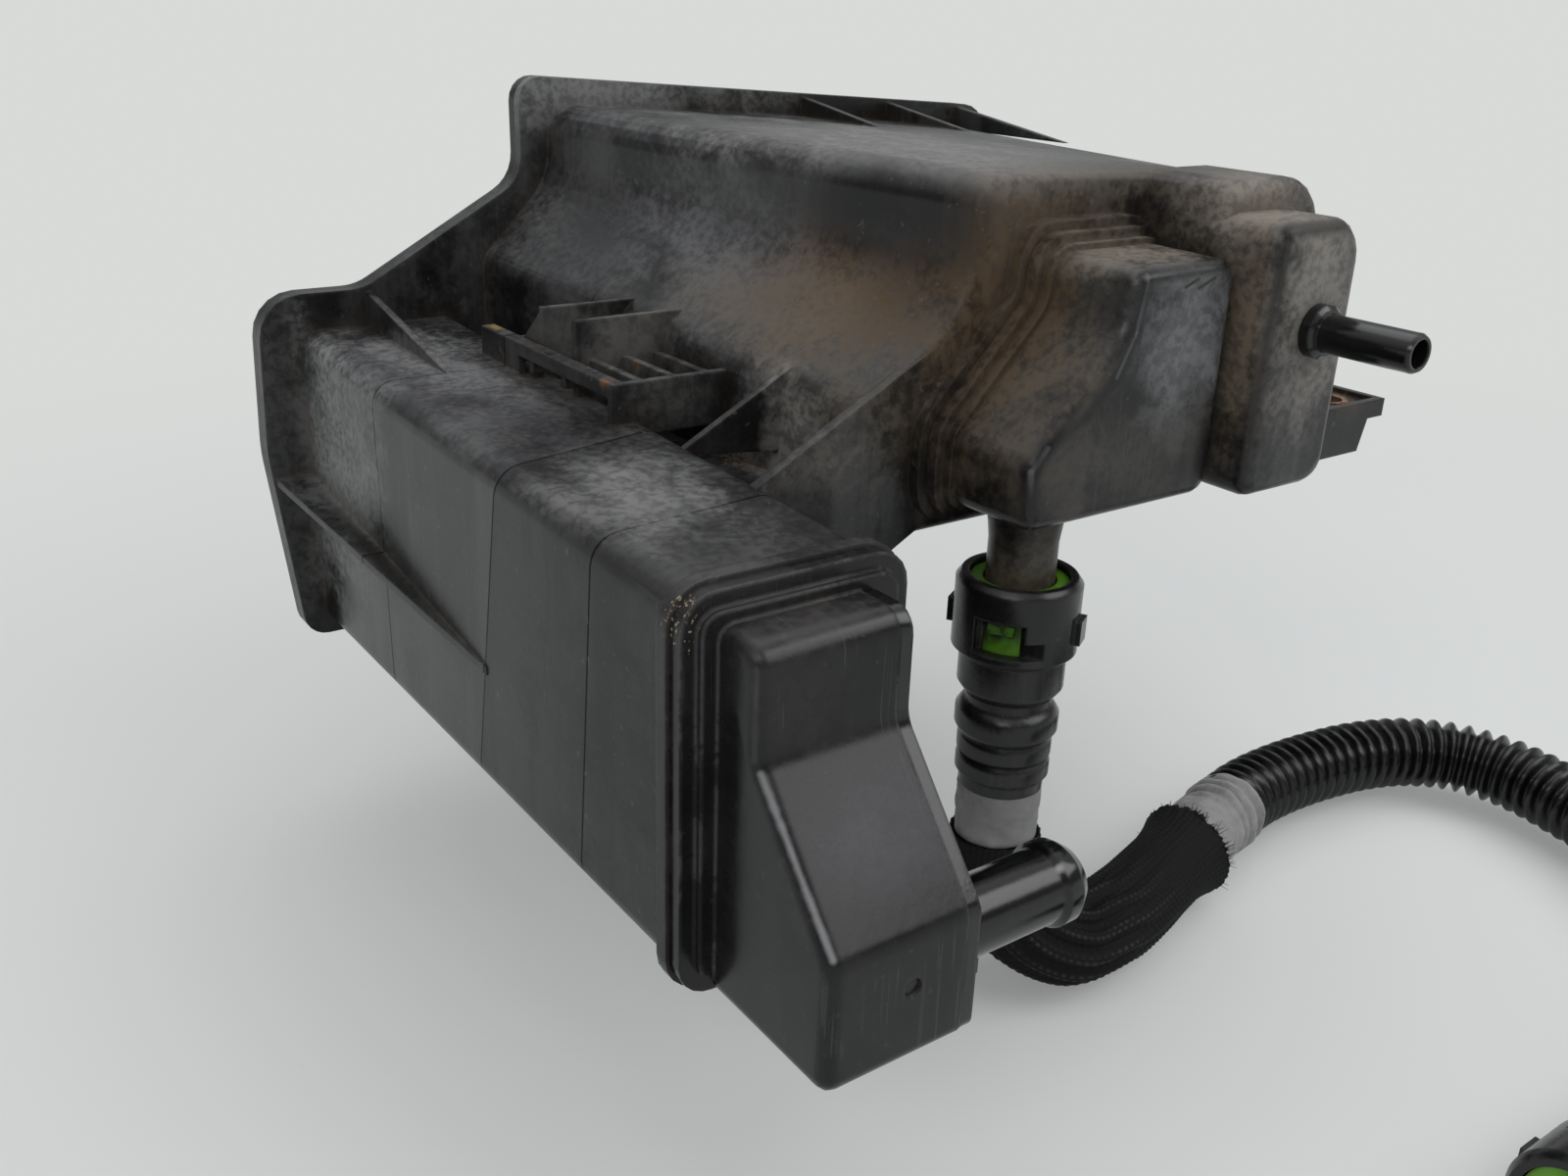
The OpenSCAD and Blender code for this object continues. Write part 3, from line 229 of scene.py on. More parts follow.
def worn_plastic(name, base, rough, dust, dusting, grime_and_shade, grime_and_shade_share, rubbed, rubbing,
                 stains_and_painted_light=(), streaks=0.0, seams=(), grit=(), scratched=0.14, rub_reach=0.0010, gloss=0.30):
    """Black moulded plastic with ragged dust, most of it on upper faces, a corner colour in its creases, rubbed
    edges and fine scratches. The corner colour is brown grime where it is paler than the base; in the tube's
    grooves it is near-black painted shade, and on the other finishes it darkens the creases. A stain is a
    place, a reach, a colour, a strength and a change of roughness: a spot has a centre and a reach for each
    axis, a line along an edge has two ends and one reach. Some stains are painted light: painted highlights,
    painted reflections and painted shade. A seam is a place along Y, its lean and the tone of the panel in
    front of it. Grit is a centre, a reach and a colour."""
    patch_scale, grain_scale, crumb_scale, grit_scale = 17, 400, 330, 1150
    corner_reach, seam_width = 0.008, 0.0007
    groove_black, panel_black = (0.003, 0.003, 0.003), (0.006, 0.006, 0.006)
    left_side, side_top, side_right = -0.0675, -0.028, 0.012
    roughest, smoothest = 0.90, 0.07
    f = Finish(name)
    zone = f.uneven(patch_scale, 4)
    mottle = f.uneven(1, 9, 0.60, at=f.stretched((60, 44, 56)), warp=0.35)
    fine = f.uneven(grain_scale, 5)
    ragged = f.sum("ADD", f.times(mottle, 0.5), f.sum("ADD", f.times(fine, 0.18), f.times(zone, 0.35)))
    powder = f.between(fine, -1.4, 1.0, 0.62, 1.0)
    up = f.between(f.axis(f.normal, "Z"), 0.1, 0.95)
    colour = f.mix(f.between(zone, -1.0, 1.0), [c * 0.75 for c in base], [c * 1.25 for c in base])
    if streaks:
        broad = f.uneven(1, 4, 0.55, at=f.stretched((40, 40, 5)))
        narrow = f.uneven(1, 5, at=f.stretched((170, 170, 9)))
        run = f.sum("ADD", f.times(broad, 0.8), f.sum("ADD", f.times(narrow, 0.25), f.times(ragged, 0.3)))
        colour = f.mix(f.times(f.between(run, -0.6, 1.6), f.between(up, 0.5, 0.0), streaks), colour, dust)
    lie = f.sum("ADD", ragged, f.times(up, 0.5))
    dusty = f.times(f.between(lie, -1.3, 2.3), f.between(up, 0.0, 1.0, 0.35, 1.0), powder, dusting)
    colour = f.mix(dusty, colour, dust)
    x, y, z = (f.axis(f.place, letter) for letter in "XYZ")
    side, sheen = f.between(x, side_right, 0.0), gloss
    for place, lean, tone in seams:
        slant = f.times(f.sum("SUBTRACT", f.sum("SUBTRACT", x, z), left_side - side_top), lean)
        past = f.sum("SUBTRACT", f.sum("SUBTRACT", y, slant), place)
        panel = f.times(f.between(past, 0.0004, -0.0004), side, abs(tone))
        colour = f.mix(panel, colour, dust if tone > 0 else panel_black)
        line = f.times(f.between(f.sum("ABSOLUTE", past), seam_width, 0.0001), side)
        colour = f.mix(f.times(line, 0.9), colour, groove_black)
        dull = f.sum("MAXIMUM", f.times(line, 0.9), panel if tone < 0 else 0.0)
        sheen = f.times(sheen, f.sum("SUBTRACT", 1.0, dull))
    shine = f.times(dusty, 0.34)
    # Each mark lays a colour on a place: real stains, and also painted highlights, painted reflections and
    # painted shade.
    for place, reach, mark_colour, strength, change in stains_and_painted_light:
        spot = isinstance(reach, tuple)
        away = f.near(place, reach) if spot else f.beside(*place, reach)
        raggedness = 0.42 if spot else 0.35
        inside = f.sum("ADD", f.times(f.sum("SUBTRACT", 1.0, away), 2.0), f.times(ragged, raggedness))
        cover = f.times(f.between(inside, -0.4, 1.9), powder if change > 0 else 1.0, strength)
        colour = f.mix(cover, colour, mark_colour)
        shine = f.sum("ADD", shine, f.times(cover, change))
    # Creases take the corner colour: brown grime where it is paler than the base, painted shade in the tube's
    # grooves.
    corner_grime_and_shade = f.times(f.between(f.creases(corner_reach), 0.25, 0.80),
                      f.between(ragged, -1.4, 1.0, 0.55, 1.0), grime_and_shade_share)
    colour = f.mix(corner_grime_and_shade, colour, grime_and_shade)
    crumbs = f.uneven(crumb_scale, 2, 0.5)
    colour = f.mix(f.times(f.between(crumbs, 2.8, 3.3), 0.30), colour, dust)
    for centre, reach, straw in grit:
        close = f.between(f.near(centre, reach), 1.1, 0.3, 0.0, 1.6)
        lying = f.between(f.sum("ADD", f.uneven(grit_scale, 2, 0.5), close), 2.9, 3.3)
        colour = f.mix(f.times(lying, f.between(close, 0.0, 0.3)), colour, straw)
    for turn in ((0.3, 0.2, 0.5), (1.2, 0.4, -0.7)):
        line = f.uneven(1, 3, 0.5, at=f.turned(turn, (1100, 26, 26)))
        scratch = f.times(f.between(line, 2.0, 2.6), f.between(zone, -0.2, 0.8), scratched)
        colour = f.mix(scratch, colour, rubbed)
        shine = f.sum("ADD", shine, f.times(scratch, 0.15))
    round_edge, edge = f.edges(rub_reach)
    rub = f.times(edge, f.between(ragged, -0.4, 0.5), rubbing)
    colour = f.mix(rub, colour, rubbed)
    f.put(colour, f.shader.inputs["Base Color"])
    f.put(sheen, f.shader.inputs["Specular IOR Level"])
    shine = f.sum("ADD", shine, f.times(ragged, 0.025))
    shine = f.sum("ADD", f.sum("ADD", shine, f.times(corner_grime_and_shade, 0.25)), rough)
    shine = f.sum("SUBTRACT", shine, f.times(rub, 0.12))
    f.put(f.sum("MAXIMUM", f.sum("MINIMUM", shine, roughest), smoothest), f.shader.inputs["Roughness"])
    f.bump(ragged, 0.00002, 0.6, round_edge)
    return f.material


def even_faces(limit):
    """Modifier tree for a solid made of loose triangles: joined, with smooth faces, and sharp edges
    where the angle is over the limit."""
    tree = bpy.data.node_groups.new("even_faces", "GeometryNodeTree")
    for way in ("INPUT", "OUTPUT"):
        tree.interface.new_socket("Geometry", in_out=way, socket_type="NodeSocketGeometry")
    start, end = tree.nodes.new("NodeGroupInput"), tree.nodes.new("NodeGroupOutput")
    join = tree.nodes.new("GeometryNodeMergeByDistance")
    join.inputs["Distance"].default_value = 0.000002
    plain = tree.nodes.new("GeometryNodeRemoveAttribute")
    plain.inputs["Name"].default_value = "custom_normal"
    smooth = tree.nodes.new("GeometryNodeSetShadeSmooth")
    soft = tree.nodes.new("GeometryNodeSetShadeSmooth")
    soft.domain = "EDGE"
    sharp = tree.nodes.new("GeometryNodeSetShadeSmooth")
    sharp.domain = "EDGE"
    sharp.inputs["Shade Smooth"].default_value = False
    angle = tree.nodes.new("GeometryNodeInputMeshEdgeAngle")
    over = tree.nodes.new("FunctionNodeCompare")
    over.inputs["B"].default_value = limit
    tree.links.new(angle.outputs["Unsigned Angle"], over.inputs["A"])
    tree.links.new(over.outputs["Result"], sharp.inputs["Selection"])
    last = start.outputs["Geometry"]
    for step in (join, plain, smooth, soft, sharp):
        tree.links.new(last, step.inputs["Geometry"])
        last = step.outputs["Geometry"]
    tree.links.new(last, end.inputs["Geometry"])
    return tree


moulded_faces = even_faces(math.radians(40))


def dress(material, *names):
    """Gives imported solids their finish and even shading."""
    for name in names:
        solid = nodes[name]
        solid.material_slots[0].material = material
        shading = solid.modifiers.new("even_faces", "NODES")
        shading.node_group = moulded_faces
        solid.modifiers.new("even_normals", "WEIGHTED_NORMAL").keep_sharp = True


soot = (0.0070, 0.0070, 0.0078)
clean_black = (0.0045, 0.0045, 0.0055)
grey_dust = (0.105, 0.105, 0.105)
brown_dirt = (0.054, 0.038, 0.022)
rubbed_grey = (0.085, 0.085, 0.088)
rust_brown = (0.085, 0.052, 0.027)
straw = (0.30, 0.22, 0.13)
body_stains_and_painted_light = (
    ((0.036, -0.056, 0.008), (0.034, 0.040, 0.022), (0.118, 0.072, 0.034), 0.78, 0.25),
    ((0.028, -0.030, 0.004), (0.028, 0.046, 0.014), (0.110, 0.096, 0.078), 0.60, 0.25),
    ((0.046, -0.083, 0.012), (0.022, 0.022, 0.030), (0.070, 0.043, 0.022), 0.78, 0.25),
    ((0.024, -0.085, -0.010), (0.030, 0.024, 0.026), (0.080, 0.067, 0.050), 0.60, 0.25),
    ((0.033, 0.008, 0.022), (0.028, 0.046, 0.020), (0.130, 0.130, 0.134), 0.65, 0.20),
    ((-0.046, -0.084, -0.024), (0.024, 0.034, 0.006), (0.185, 0.184, 0.180), 0.75, 0.20),
    ((-0.045, 0.050, -0.020), (0.024, 0.046, 0.006), (0.150, 0.150, 0.152), 0.65, 0.20),
    # Pale patch on the side chamber's left wall near the rear flange: a painted reflection.
    ((-0.0675, 0.064, -0.056), (0.006, 0.046, 0.056), (0.230, 0.234, 0.230), 0.85, 0.10),
    ((-0.0675, -0.010, -0.090), (0.006, 0.055, 0.030), (0.070, 0.071, 0.070), 0.45, 0.10),
    ((0.064, -0.097, 0.020), (0.050, 0.012, 0.060), (0.082, 0.052, 0.027), 0.85, 0.25),
    ((0.120, -0.122, 0.038), (0.032, 0.030, 0.014), (0.230, 0.200, 0.163), 0.80, 0.25),
    ((0.112, -0.135, 0.008), (0.006, 0.010, 0.040), (0.170, 0.138, 0.100), 0.80, 0.25),
    ((0.132, -0.143, 0.014), (0.022, 0.006, 0.032), (0.240, 0.225, 0.205), 0.75, 0.20),
    ((0.080, -0.030, 0.045), (0.060, 0.110, 0.007), (0.250, 0.246, 0.236), 0.62, 0.25),
    ((0.110, -0.090, 0.042), (0.045, 0.026, 0.008), (0.078, 0.064, 0.048), 0.75, 0.25),
    ((0.185, -0.115, -0.0245), (0.020, 0.016, 0.0035), rust_brown, 0.80, 0.25),
    ((-0.0225, 0.038, -0.011), (0.003, 0.007, 0.003), (0.260, 0.160, 0.045), 0.90, 0.25),
    ((-0.0255, -0.036, -0.011), (0.003, 0.004, 0.003), (0.200, 0.085, 0.025), 0.80, 0.25),
    ((-0.0057, -0.020, -0.0122), (0.003, 0.004, 0.002), (0.200, 0.090, 0.030), 0.70, 0.25),
    ((-0.004, -0.005, -0.008), (0.016, 0.040, 0.014), (0.120, 0.116, 0.104), 0.65, 0.20),
    # Pale dust on the main chamber's lower left wall, brightened further as painted light because the wall lies
    # in shade.
    ((0.013, -0.066, -0.026), (0.008, 0.024, 0.022), (0.260, 0.246, 0.228), 0.75, 0.20),
    ((0.004, -0.0964, -0.022), (0.020, 0.004, 0.016), (0.120, 0.112, 0.100), 0.75, 0.20),
    ((-0.008, -0.041, -0.016), (0.016, 0.005, 0.010), (0.065, 0.063, 0.057), 0.75, 0.20),
    ((0.040, 0.090, 0.055), (0.090, 0.008, 0.012), (0.215, 0.215, 0.216), 0.80, 0.20),
    ((-0.078, 0.088, -0.050), (0.016, 0.006, 0.080), (0.070, 0.070, 0.071), 0.60, 0.20),
    ((0.046, -0.068, 0.034), (0.013, 0.044, 0.016), clean_black, 0.97, -0.24),
    ((0.027, 0.050, 0.008), (0.016, 0.026, 0.018), clean_black, 0.85, -0.10),
    ((-0.040, -0.040, -0.022), (0.020, 0.026, 0.006), clean_black, 0.75, -0.08),
    ((-0.0675, -0.115, -0.075), (0.006, 0.045, 0.060), (0.006, 0.006, 0.007), 0.85, -0.05),
    ((0.186, -0.127, -0.033), (0.022, 0.005, 0.014), clean_black, 0.90, -0.08),
    ((-0.0240, 0.0, -0.011), (0.004, 0.034, 0.004), clean_black, 0.60, 0.0),
    ((-0.0705, 0.020, -0.072), (0.0035, 0.070, 0.020), clean_black, 0.90, -0.08),
    (((0.1147, -0.1418, 0.0338), (0.1133, -0.1397, -0.0349)), 0.0024, clean_black, 0.85, -0.12),
    (((0.1147, -0.1415, 0.0348), (0.1500, -0.1415, 0.0348)), 0.0026, clean_black, 0.80, -0.12),
)
body_seams = ((0.0255, 0.0, 0.05), (-0.057, 0.21, -0.35), (-0.107, 0.10, 0.06))
weld_grit = (((-0.067, -0.1450, -0.029), (0.005, 0.005, 0.011), straw),)
leaf_bits = (((0.012, -0.050, -0.035), (0.008, 0.012, 0.006), (0.26, 0.15, 0.06)),)
body_plastic = worn_plastic("body_plastic", soot, 0.30, grey_dust, 0.70, brown_dirt, 0.65, rubbed_grey, 0.55,
                            body_stains_and_painted_light, 0.26, body_seams, weld_grit + leaf_bits)
dress(body_plastic, "canister_body")

# Rear cover: one nylon pan moulding, welded to the body's rear flange, with the passage between the
# two chambers in it. It is as dusty as the body.
cover_plastic = worn_plastic("cover_plastic", soot, 0.34, grey_dust, 0.6, brown_dirt, 0.6, rubbed_grey, 0.5,
                             streaks=0.3)
dress(cover_plastic, "rear_cover")

# Inside the chambers: nylon grids and pressure plates, white felted fleece, two beds of pressed
# carbon granules, and coil springs of drawn wire that keep the beds tight.
grid_plastic = worn_plastic("grid_plastic", (0.030, 0.030, 0.032), 0.42, (0.05, 0.05, 0.05), 0.3,
                            (0.02, 0.02, 0.02), 0.3, (0.09, 0.09, 0.09), 0.2)
dress(grid_plastic, "side_front_grid", "side_pressure_plate", "main_front_grid", "main_pressure_plate")

felt = Finish("fleece", Roughness=0.95, Sheen_Weight=0.3, Sheen_Roughness=0.6)
fibres = felt.noise(1, 6, 0.7, at=felt.stretched((900, 900, 300)), warp=1.5)
felt.put(felt.mix(fibres, (0.42, 0.41, 0.37), (0.70, 0.69, 0.64)), felt.shader.inputs["Base Color"])
felt.bump(fibres, 0.0006, 0.8)
dress(felt.material, "side_front_fleece", "side_rear_fleece", "main_front_fleece", "main_rear_fleece")

granules = Finish("carbon", Roughness=0.75)
pellets = granules.node("ShaderNodeTexVoronoi")
granules.put(granules.place, pellets.inputs["Vector"])
pellets.inputs["Scale"].default_value = 420
granules.put(granules.mix(pellets.outputs["Distance"], (0.022, 0.022, 0.023), (0.006, 0.006, 0.006)),
             granules.shader.inputs["Base Color"])
granules.bump(granules.sum("SUBTRACT", 1.0, pellets.outputs["Distance"]), 0.0010, 0.9)
dress(granules.material, "side_carbon_bed", "main_carbon_bed")

wire = Finish("spring_steel", Metallic=1.0)
drawn = wire.noise(600, 4)
wire.put(wire.mix(drawn, (0.28, 0.28, 0.29), (0.48, 0.48, 0.49)), wire.shader.inputs["Base Color"])
wire.put(wire.between(drawn, 0.3, 0.7, 0.28, 0.45), wire.shader.inputs["Roughness"])
wire.bump(drawn, 0.00005, 0.5)
dress(wire.material, "side_springs", "main_springs")

# Side chamber's front cap: a hooded nylon plenum, welded on the chamber's front rim. Its slanted
# face is cleaner than the body, with bright rubbed edges. The faint violet sheen on it is a painted
# reflection, and thin pale lines along its edges are painted highlights over the wear.
cap_stains_and_highlights = (
    ((-0.041, -0.158, -0.030), (0.026, 0.008, 0.004), (0.034, 0.030, 0.026), 0.45, 0.25),
    # Violet-grey film on the slanted face: a painted reflection.
    ((-0.040, -0.178, -0.073), (0.025, 0.017, 0.019), (0.042, 0.038, 0.047), 0.75, 0.04),
    ((-0.050, -0.164, -0.045), (0.014, 0.006, 0.012), (0.022, 0.021, 0.022), 0.50, 0.15),
    # Pale lines along the hood's edges: painted highlights; on the slanted left edge the line is also a worn
    # whitish band.
    (((-0.0604, -0.1645, -0.0583), (-0.0598, -0.1900, -0.0878)), 0.0011, (0.230, 0.230, 0.236), 0.75, 0.0),
    (((-0.0580, -0.1618, -0.0330), (-0.0240, -0.1616, -0.0325)), 0.0009, (0.060, 0.060, 0.064), 0.45, -0.05),
    (((-0.0604, -0.1622, -0.0360), (-0.0608, -0.1626, -0.0560)), 0.0010, (0.040, 0.040, 0.042), 0.60, -0.05),
    (((-0.0580, -0.1640, -0.0575), (-0.0240, -0.1640, -0.0575)), 0.0014, (0.050, 0.050, 0.054), 0.45, 0.0),
)
side_cap_plastic = worn_plastic("side_cap_plastic", (0.0050, 0.0050, 0.0056), 0.22, (0.046, 0.045, 0.046), 0.30,
                                (0.036, 0.029, 0.022), 0.50, (0.150, 0.150, 0.155), 0.70, cap_stains_and_highlights, 0.08,
                                grit=weld_grit, scratched=0.12, rub_reach=0.0014)
dress(side_cap_plastic, "side_cap")

# Main chamber's front cap: a boot-shaped nylon cap with the vapour spigot under it, welded on the
# main chamber. It wears the most brown dirt, with cleaner dark edges and thin painted highlights
# along its worn front edge.
worn_edge = ((0.0739, -0.1332, 0.0246), (0.0717, -0.1335, 0.0115), (0.0664, -0.1335, 0.0009),
             (0.0574, -0.1335, -0.0079), (0.0453, -0.1330, -0.0145), (0.0408, -0.1325, -0.0200),
             (0.0428, -0.1321, -0.0354))
main_cap_stains_and_highlights = (
    ((0.052, -0.113, 0.000), (0.026, 0.026, 0.038), (0.086, 0.066, 0.044), 0.82, 0.25),
    ((0.060, -0.106, 0.010), (0.050, 0.010, 0.050), (0.078, 0.049, 0.025), 0.85, 0.25),
    ((0.086, -0.117, 0.027), (0.036, 0.016, 0.008), (0.160, 0.134, 0.106), 0.80, 0.25),
    ((0.090, -0.134, 0.009), (0.023, 0.006, 0.026), (0.150, 0.156, 0.165), 0.75, 0.15),
    ((0.066, -0.134, -0.020), (0.034, 0.010, 0.012), (0.055, 0.052, 0.045), 0.55, 0.20),
    ((0.070, -0.134, -0.003), (0.007, 0.006, 0.018), (0.007, 0.007, 0.008), 0.60, -0.08),
    ((0.0575, -0.116, -0.066), (0.030, 0.030, 0.030), (0.100, 0.087, 0.064), 0.70, 0.25),
    (((0.0739, -0.1325, 0.0252), (0.1080, -0.1325, 0.0256)), 0.0026, clean_black, 0.85, -0.14),
    (((0.0880, -0.1339, 0.0215), (0.0925, -0.1339, 0.0232)), 0.0006, (0.003, 0.003, 0.003), 0.90, 0.0),
    (((0.0930, -0.1339, 0.0208), (0.0990, -0.1339, 0.0230)), 0.0006, (0.003, 0.003, 0.003), 0.90, 0.0),
) + tuple(((a, b), 0.0028, clean_black, 0.85, -0.14) for a, b in zip(worn_edge, worn_edge[1:])) + tuple(
    # Thin pale lines on the worn edge: painted highlights.
    ((a, b), 0.0008, (0.130, 0.130, 0.136), 0.38, -0.05)
    for a, b in (worn_edge[0:2], worn_edge[1:3], worn_edge[4:6], worn_edge[5:7]))
main_cap_plastic = worn_plastic("main_cap_plastic", (0.0070, 0.0068, 0.0070), 0.27, (0.080, 0.073, 0.063), 0.60,
                                (0.050, 0.035, 0.021), 0.80, rubbed_grey, 0.40, main_cap_stains_and_highlights, 0.25,
                                scratched=0.16)
dress(main_cap_plastic, "main_cap")

# Vent and purge spigots: glossy black nylon, turned smooth for the hoses and friction-welded to the
# hood and to the dome.
gloss_plastic = worn_plastic("gloss_plastic", (0.0025, 0.0025, 0.0030), 0.08, (0.030, 0.029, 0.028), 0.07,
                             (0.026, 0.021, 0.016), 0.35, (0.06, 0.06, 0.06), 0.15, scratched=0.06, gloss=0.5)
dress(gloss_plastic, "vent_port", "purge_port")

# Lug bush: a short steel tube, rolled from strip and pressed into the lug, so that the mounting
# bolt clamps on steel and not on plastic. It has rusted.
rust = Finish("bush_steel", Metallic=0.4)
flakes = rust.noise(380, 6, 0.7)
rust.put(rust.mix(rust.between(flakes, 0.40, 0.60), (0.10, 0.045, 0.020), (0.26, 0.16, 0.10)),
         rust.shader.inputs["Base Color"])
rust.put(rust.between(flakes, 0.3, 0.7, 0.85, 0.5), rust.shader.inputs["Roughness"])
rust.bump(flakes, 0.0003, 0.8)
dress(rust.material, "lug_bush")

# Quick connectors: moulded bodies with a green snap-in retainer, rubber sealing rings and a white
# spacer. One sits on the spigot under the main cap, the other ends the hose.
connector_plastic = worn_plastic("connector_plastic", (0.0040, 0.0040, 0.0042), 0.24,
                                 (0.046, 0.044, 0.042), 0.18, (0.022, 0.018, 0.014), 0.5,
                                 (0.07, 0.07, 0.07), 0.35, scratched=0.10, gloss=0.42)
dress(connector_plastic, "connector_body", "end_connector")
# Marks in the connector's window: a near-black band and a dim green block, painted shade of the window's deep
# recess.
window_recess_shade = (
    ((0.0445, -0.1215, -0.0680), (0.012, 0.016, 0.0052), (0.008, 0.011, 0.005), 0.97, 0.2),
    ((0.0445, -0.1215, -0.0605), (0.005, 0.009, 0.0030), (0.030, 0.075, 0.008), 0.70, 0.1),
)
retainer_green = worn_plastic("retainer_green", (0.085, 0.240, 0.012), 0.32, (0.09, 0.10, 0.05), 0.3,
                              (0.022, 0.026, 0.010), 0.7, (0.20, 0.34, 0.07), 0.3, window_recess_shade)
dress(retainer_green, "connector_retainer", "end_retainer")
seal_rubber = worn_plastic("seal_rubber", (0.012, 0.012, 0.012), 0.5, (0.05, 0.05, 0.05), 0.2,
                           (0.02, 0.02, 0.02), 0.3, (0.05, 0.05, 0.05), 0.1)
dress(seal_rubber, "connector_seals", "end_seals")
spacer_white = worn_plastic("spacer_white", (0.52, 0.51, 0.47), 0.45, (0.40, 0.38, 0.34), 0.3,
                            (0.20, 0.17, 0.13), 0.4, (0.6, 0.6, 0.58), 0.2)
dress(spacer_white, "connector_spacer", "end_spacer")

# Vapour hose: extruded black polyamide tube with rounded corrugations, from the near connector's
# tail round to the far connector. Where tape and sleeve cover it, it is drawn without corrugations.
hose_z = -0.173
cuff_points = [(0.0575, -0.116, -0.1195), (0.0575, -0.116, -0.1360)]
sleeve_points = [(0.0575, -0.117, -0.147), (0.0595, -0.121, -0.158), (0.0655, -0.126, -0.167)] + [
    (x, y, hose_z) for x, y in ((0.0775, -0.131), (0.0925, -0.132), (0.1085, -0.129), (0.1255, -0.124),
                                (0.1465, -0.118))]
tape_points = [(x, y, hose_z) for x, y in ((0.1585, -0.114), (0.1705, -0.111))]
hose_points = [(x, y, hose_z) for x, y in (
    (0.1915, -0.106), (0.2135, -0.105), (0.2355, -0.107), (0.2545, -0.111), (0.2705, -0.118), (0.2825, -0.129),
    (0.2885, -0.143), (0.2895, -0.158), (0.2865, -0.176), (0.2815, -0.196), (0.2725, -0.216), (0.2595, -0.235),
    (0.2425, -0.251), (0.2225, -0.263), (0.2015, -0.271), (0.1805, -0.275), (0.1605, -0.275))]
hose_route = [Vector(p) for p in cuff_points + sleeve_points + tape_points + hose_points]


def smooth_line(points, step):
    """Points at an even step on a smooth curve through the given ones, with their distance along it."""
    dense, parts = [], 24
    ends = [2 * points[0] - points[1]] + points + [2 * points[-1] - points[-2]]
    for a, b, c, d in zip(ends, ends[1:], ends[2:], ends[3:]):
        for k in range(parts):
            t = k / parts
            dense.append(0.5 * (2 * b + (c - a) * t + (2 * a - 5 * b + 4 * c - d) * t * t
                                + (3 * b - a - 3 * c + d) * t ** 3))
    dense.append(points[-1])
    along = [0.0]
    for a, b in zip(dense, dense[1:]):
        along.append(along[-1] + (b - a).length)
    count = max(2, round(along[-1] / step))
    line, k = [], 0
    for i in range(count + 1):
        goal = along[-1] * i / count
        while k < len(along) - 2 and along[k + 1] < goal:
            k += 1
        share = (goal - along[k]) / max(along[k + 1] - along[k], 1e-9)
        line.append((goal, dense[k].lerp(dense[k + 1], min(1.0, share))))
    return line


def line_distance(line, point):
    """Distance along the line of its place nearest to a point."""
    return min(line, key=lambda place: (place[1] - point).length)[0]


def swept_tube(line, sides, radius, ragged=None, crest=None):
    """A grid rolled round a line into a tube. radius gives the radius at a distance and an angle,
    ragged how far a place is drawn along the line, and crest a share that is kept on each point."""
    size = 0.5
    bm = bmesh.new()
    bm.loops.layers.uv.new("UVMap")
    bmesh.ops.create_grid(bm, x_segments=sides, y_segments=len(line) - 1, size=size, calc_uvs=True)
    across, frames = Vector((1, 0, 0)), []
    for i, (distance, middle) in enumerate(line):
        heading = (line[min(i + 1, len(line) - 1)][1] - line[max(i - 1, 0)][1]).normalized()
        across = (across - heading * across.dot(heading)).normalized()
        frames.append((distance, middle, heading, across.copy(), heading.cross(across)))
    last = len(line) - 1
    kept = bm.verts.layers.float.new("crest") if crest is not None else None
    for vert in bm.verts:
        angle = (vert.co.x / size + 1) * math.pi
        distance, middle, heading, first, second = frames[round((vert.co.y / size + 1) / 2 * last)]
        out = first * math.cos(angle) + second * math.sin(angle)
        vert.co = middle + out * radius(distance, angle)
        if ragged is not None:
            vert.co += heading * ragged(distance, angle)
        if crest is not None:
            vert[kept] = crest(distance, angle)
    bmesh.ops.remove_doubles(bm, verts=bm.verts, dist=0.000001)
    bmesh.ops.recalc_face_normals(bm, faces=bm.faces)
    return bm


def shown(name, bm, material, smooth=True):
    """Turns a bmesh into a piece that rides on the canister."""
    mesh = bpy.data.meshes.new(name)
    bm.to_mesh(mesh)
    bm.free()
    mesh.materials.append(material)
    mesh.polygons.foreach_set("use_smooth", [smooth] * len(mesh.polygons))
    piece = bpy.data.objects.new(name, mesh)
    scene.collection.objects.link(piece)
    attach(piece, "root")
    return piece


hose_step, path_step = 0.00055, 12
hose_line = smooth_line(hose_route, hose_step)
cuff_end = line_distance(hose_line, Vector(cuff_points[-1]))
sleeve_end = line_distance(hose_line, Vector(sleeve_points[-1]))
tape_end = line_distance(hose_line, Vector(tape_points[-1]))
taped_ribs, tube_sides, tape_sides = 0.010, 40, 72
rib_pitch, crest_radius, groove_radius, covered_radius = 0.0055, 0.0130, 0.0098, 0.0110


def hose_radius(distance, angle):
    """Radius of the tube, plain where tape and sleeve cover it and corrugated past them."""
    under_tape = 0.003
    if distance < tape_end + taped_ribs - under_tape:
        return covered_radius
    crest = 0.5 + 0.5 * math.cos(2 * math.pi * distance / rib_pitch)
    return groove_radius + (crest_radius - groove_radius) * crest ** 0.75


hose_bm = swept_tube(hose_line, tube_sides, hose_radius)
bmesh.ops.holes_fill(hose_bm, edges=[e for e in hose_bm.edges if e.is_boundary], sides=0)
# The tube's grooves take a near-black crease colour: painted shade in the corrugations.
tube_plastic = worn_plastic("tube_plastic", (0.0035, 0.0035, 0.0040), 0.17, (0.030, 0.029, 0.028), 0.18,
                            (0.0010, 0.0010, 0.0010), 0.95, (0.02, 0.02, 0.02), 0.1, scratched=0.05, gloss=0.45)
corrugated_tube = shown("corrugated_tube", hose_bm, tube_plastic)
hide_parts("corrugated_hose")

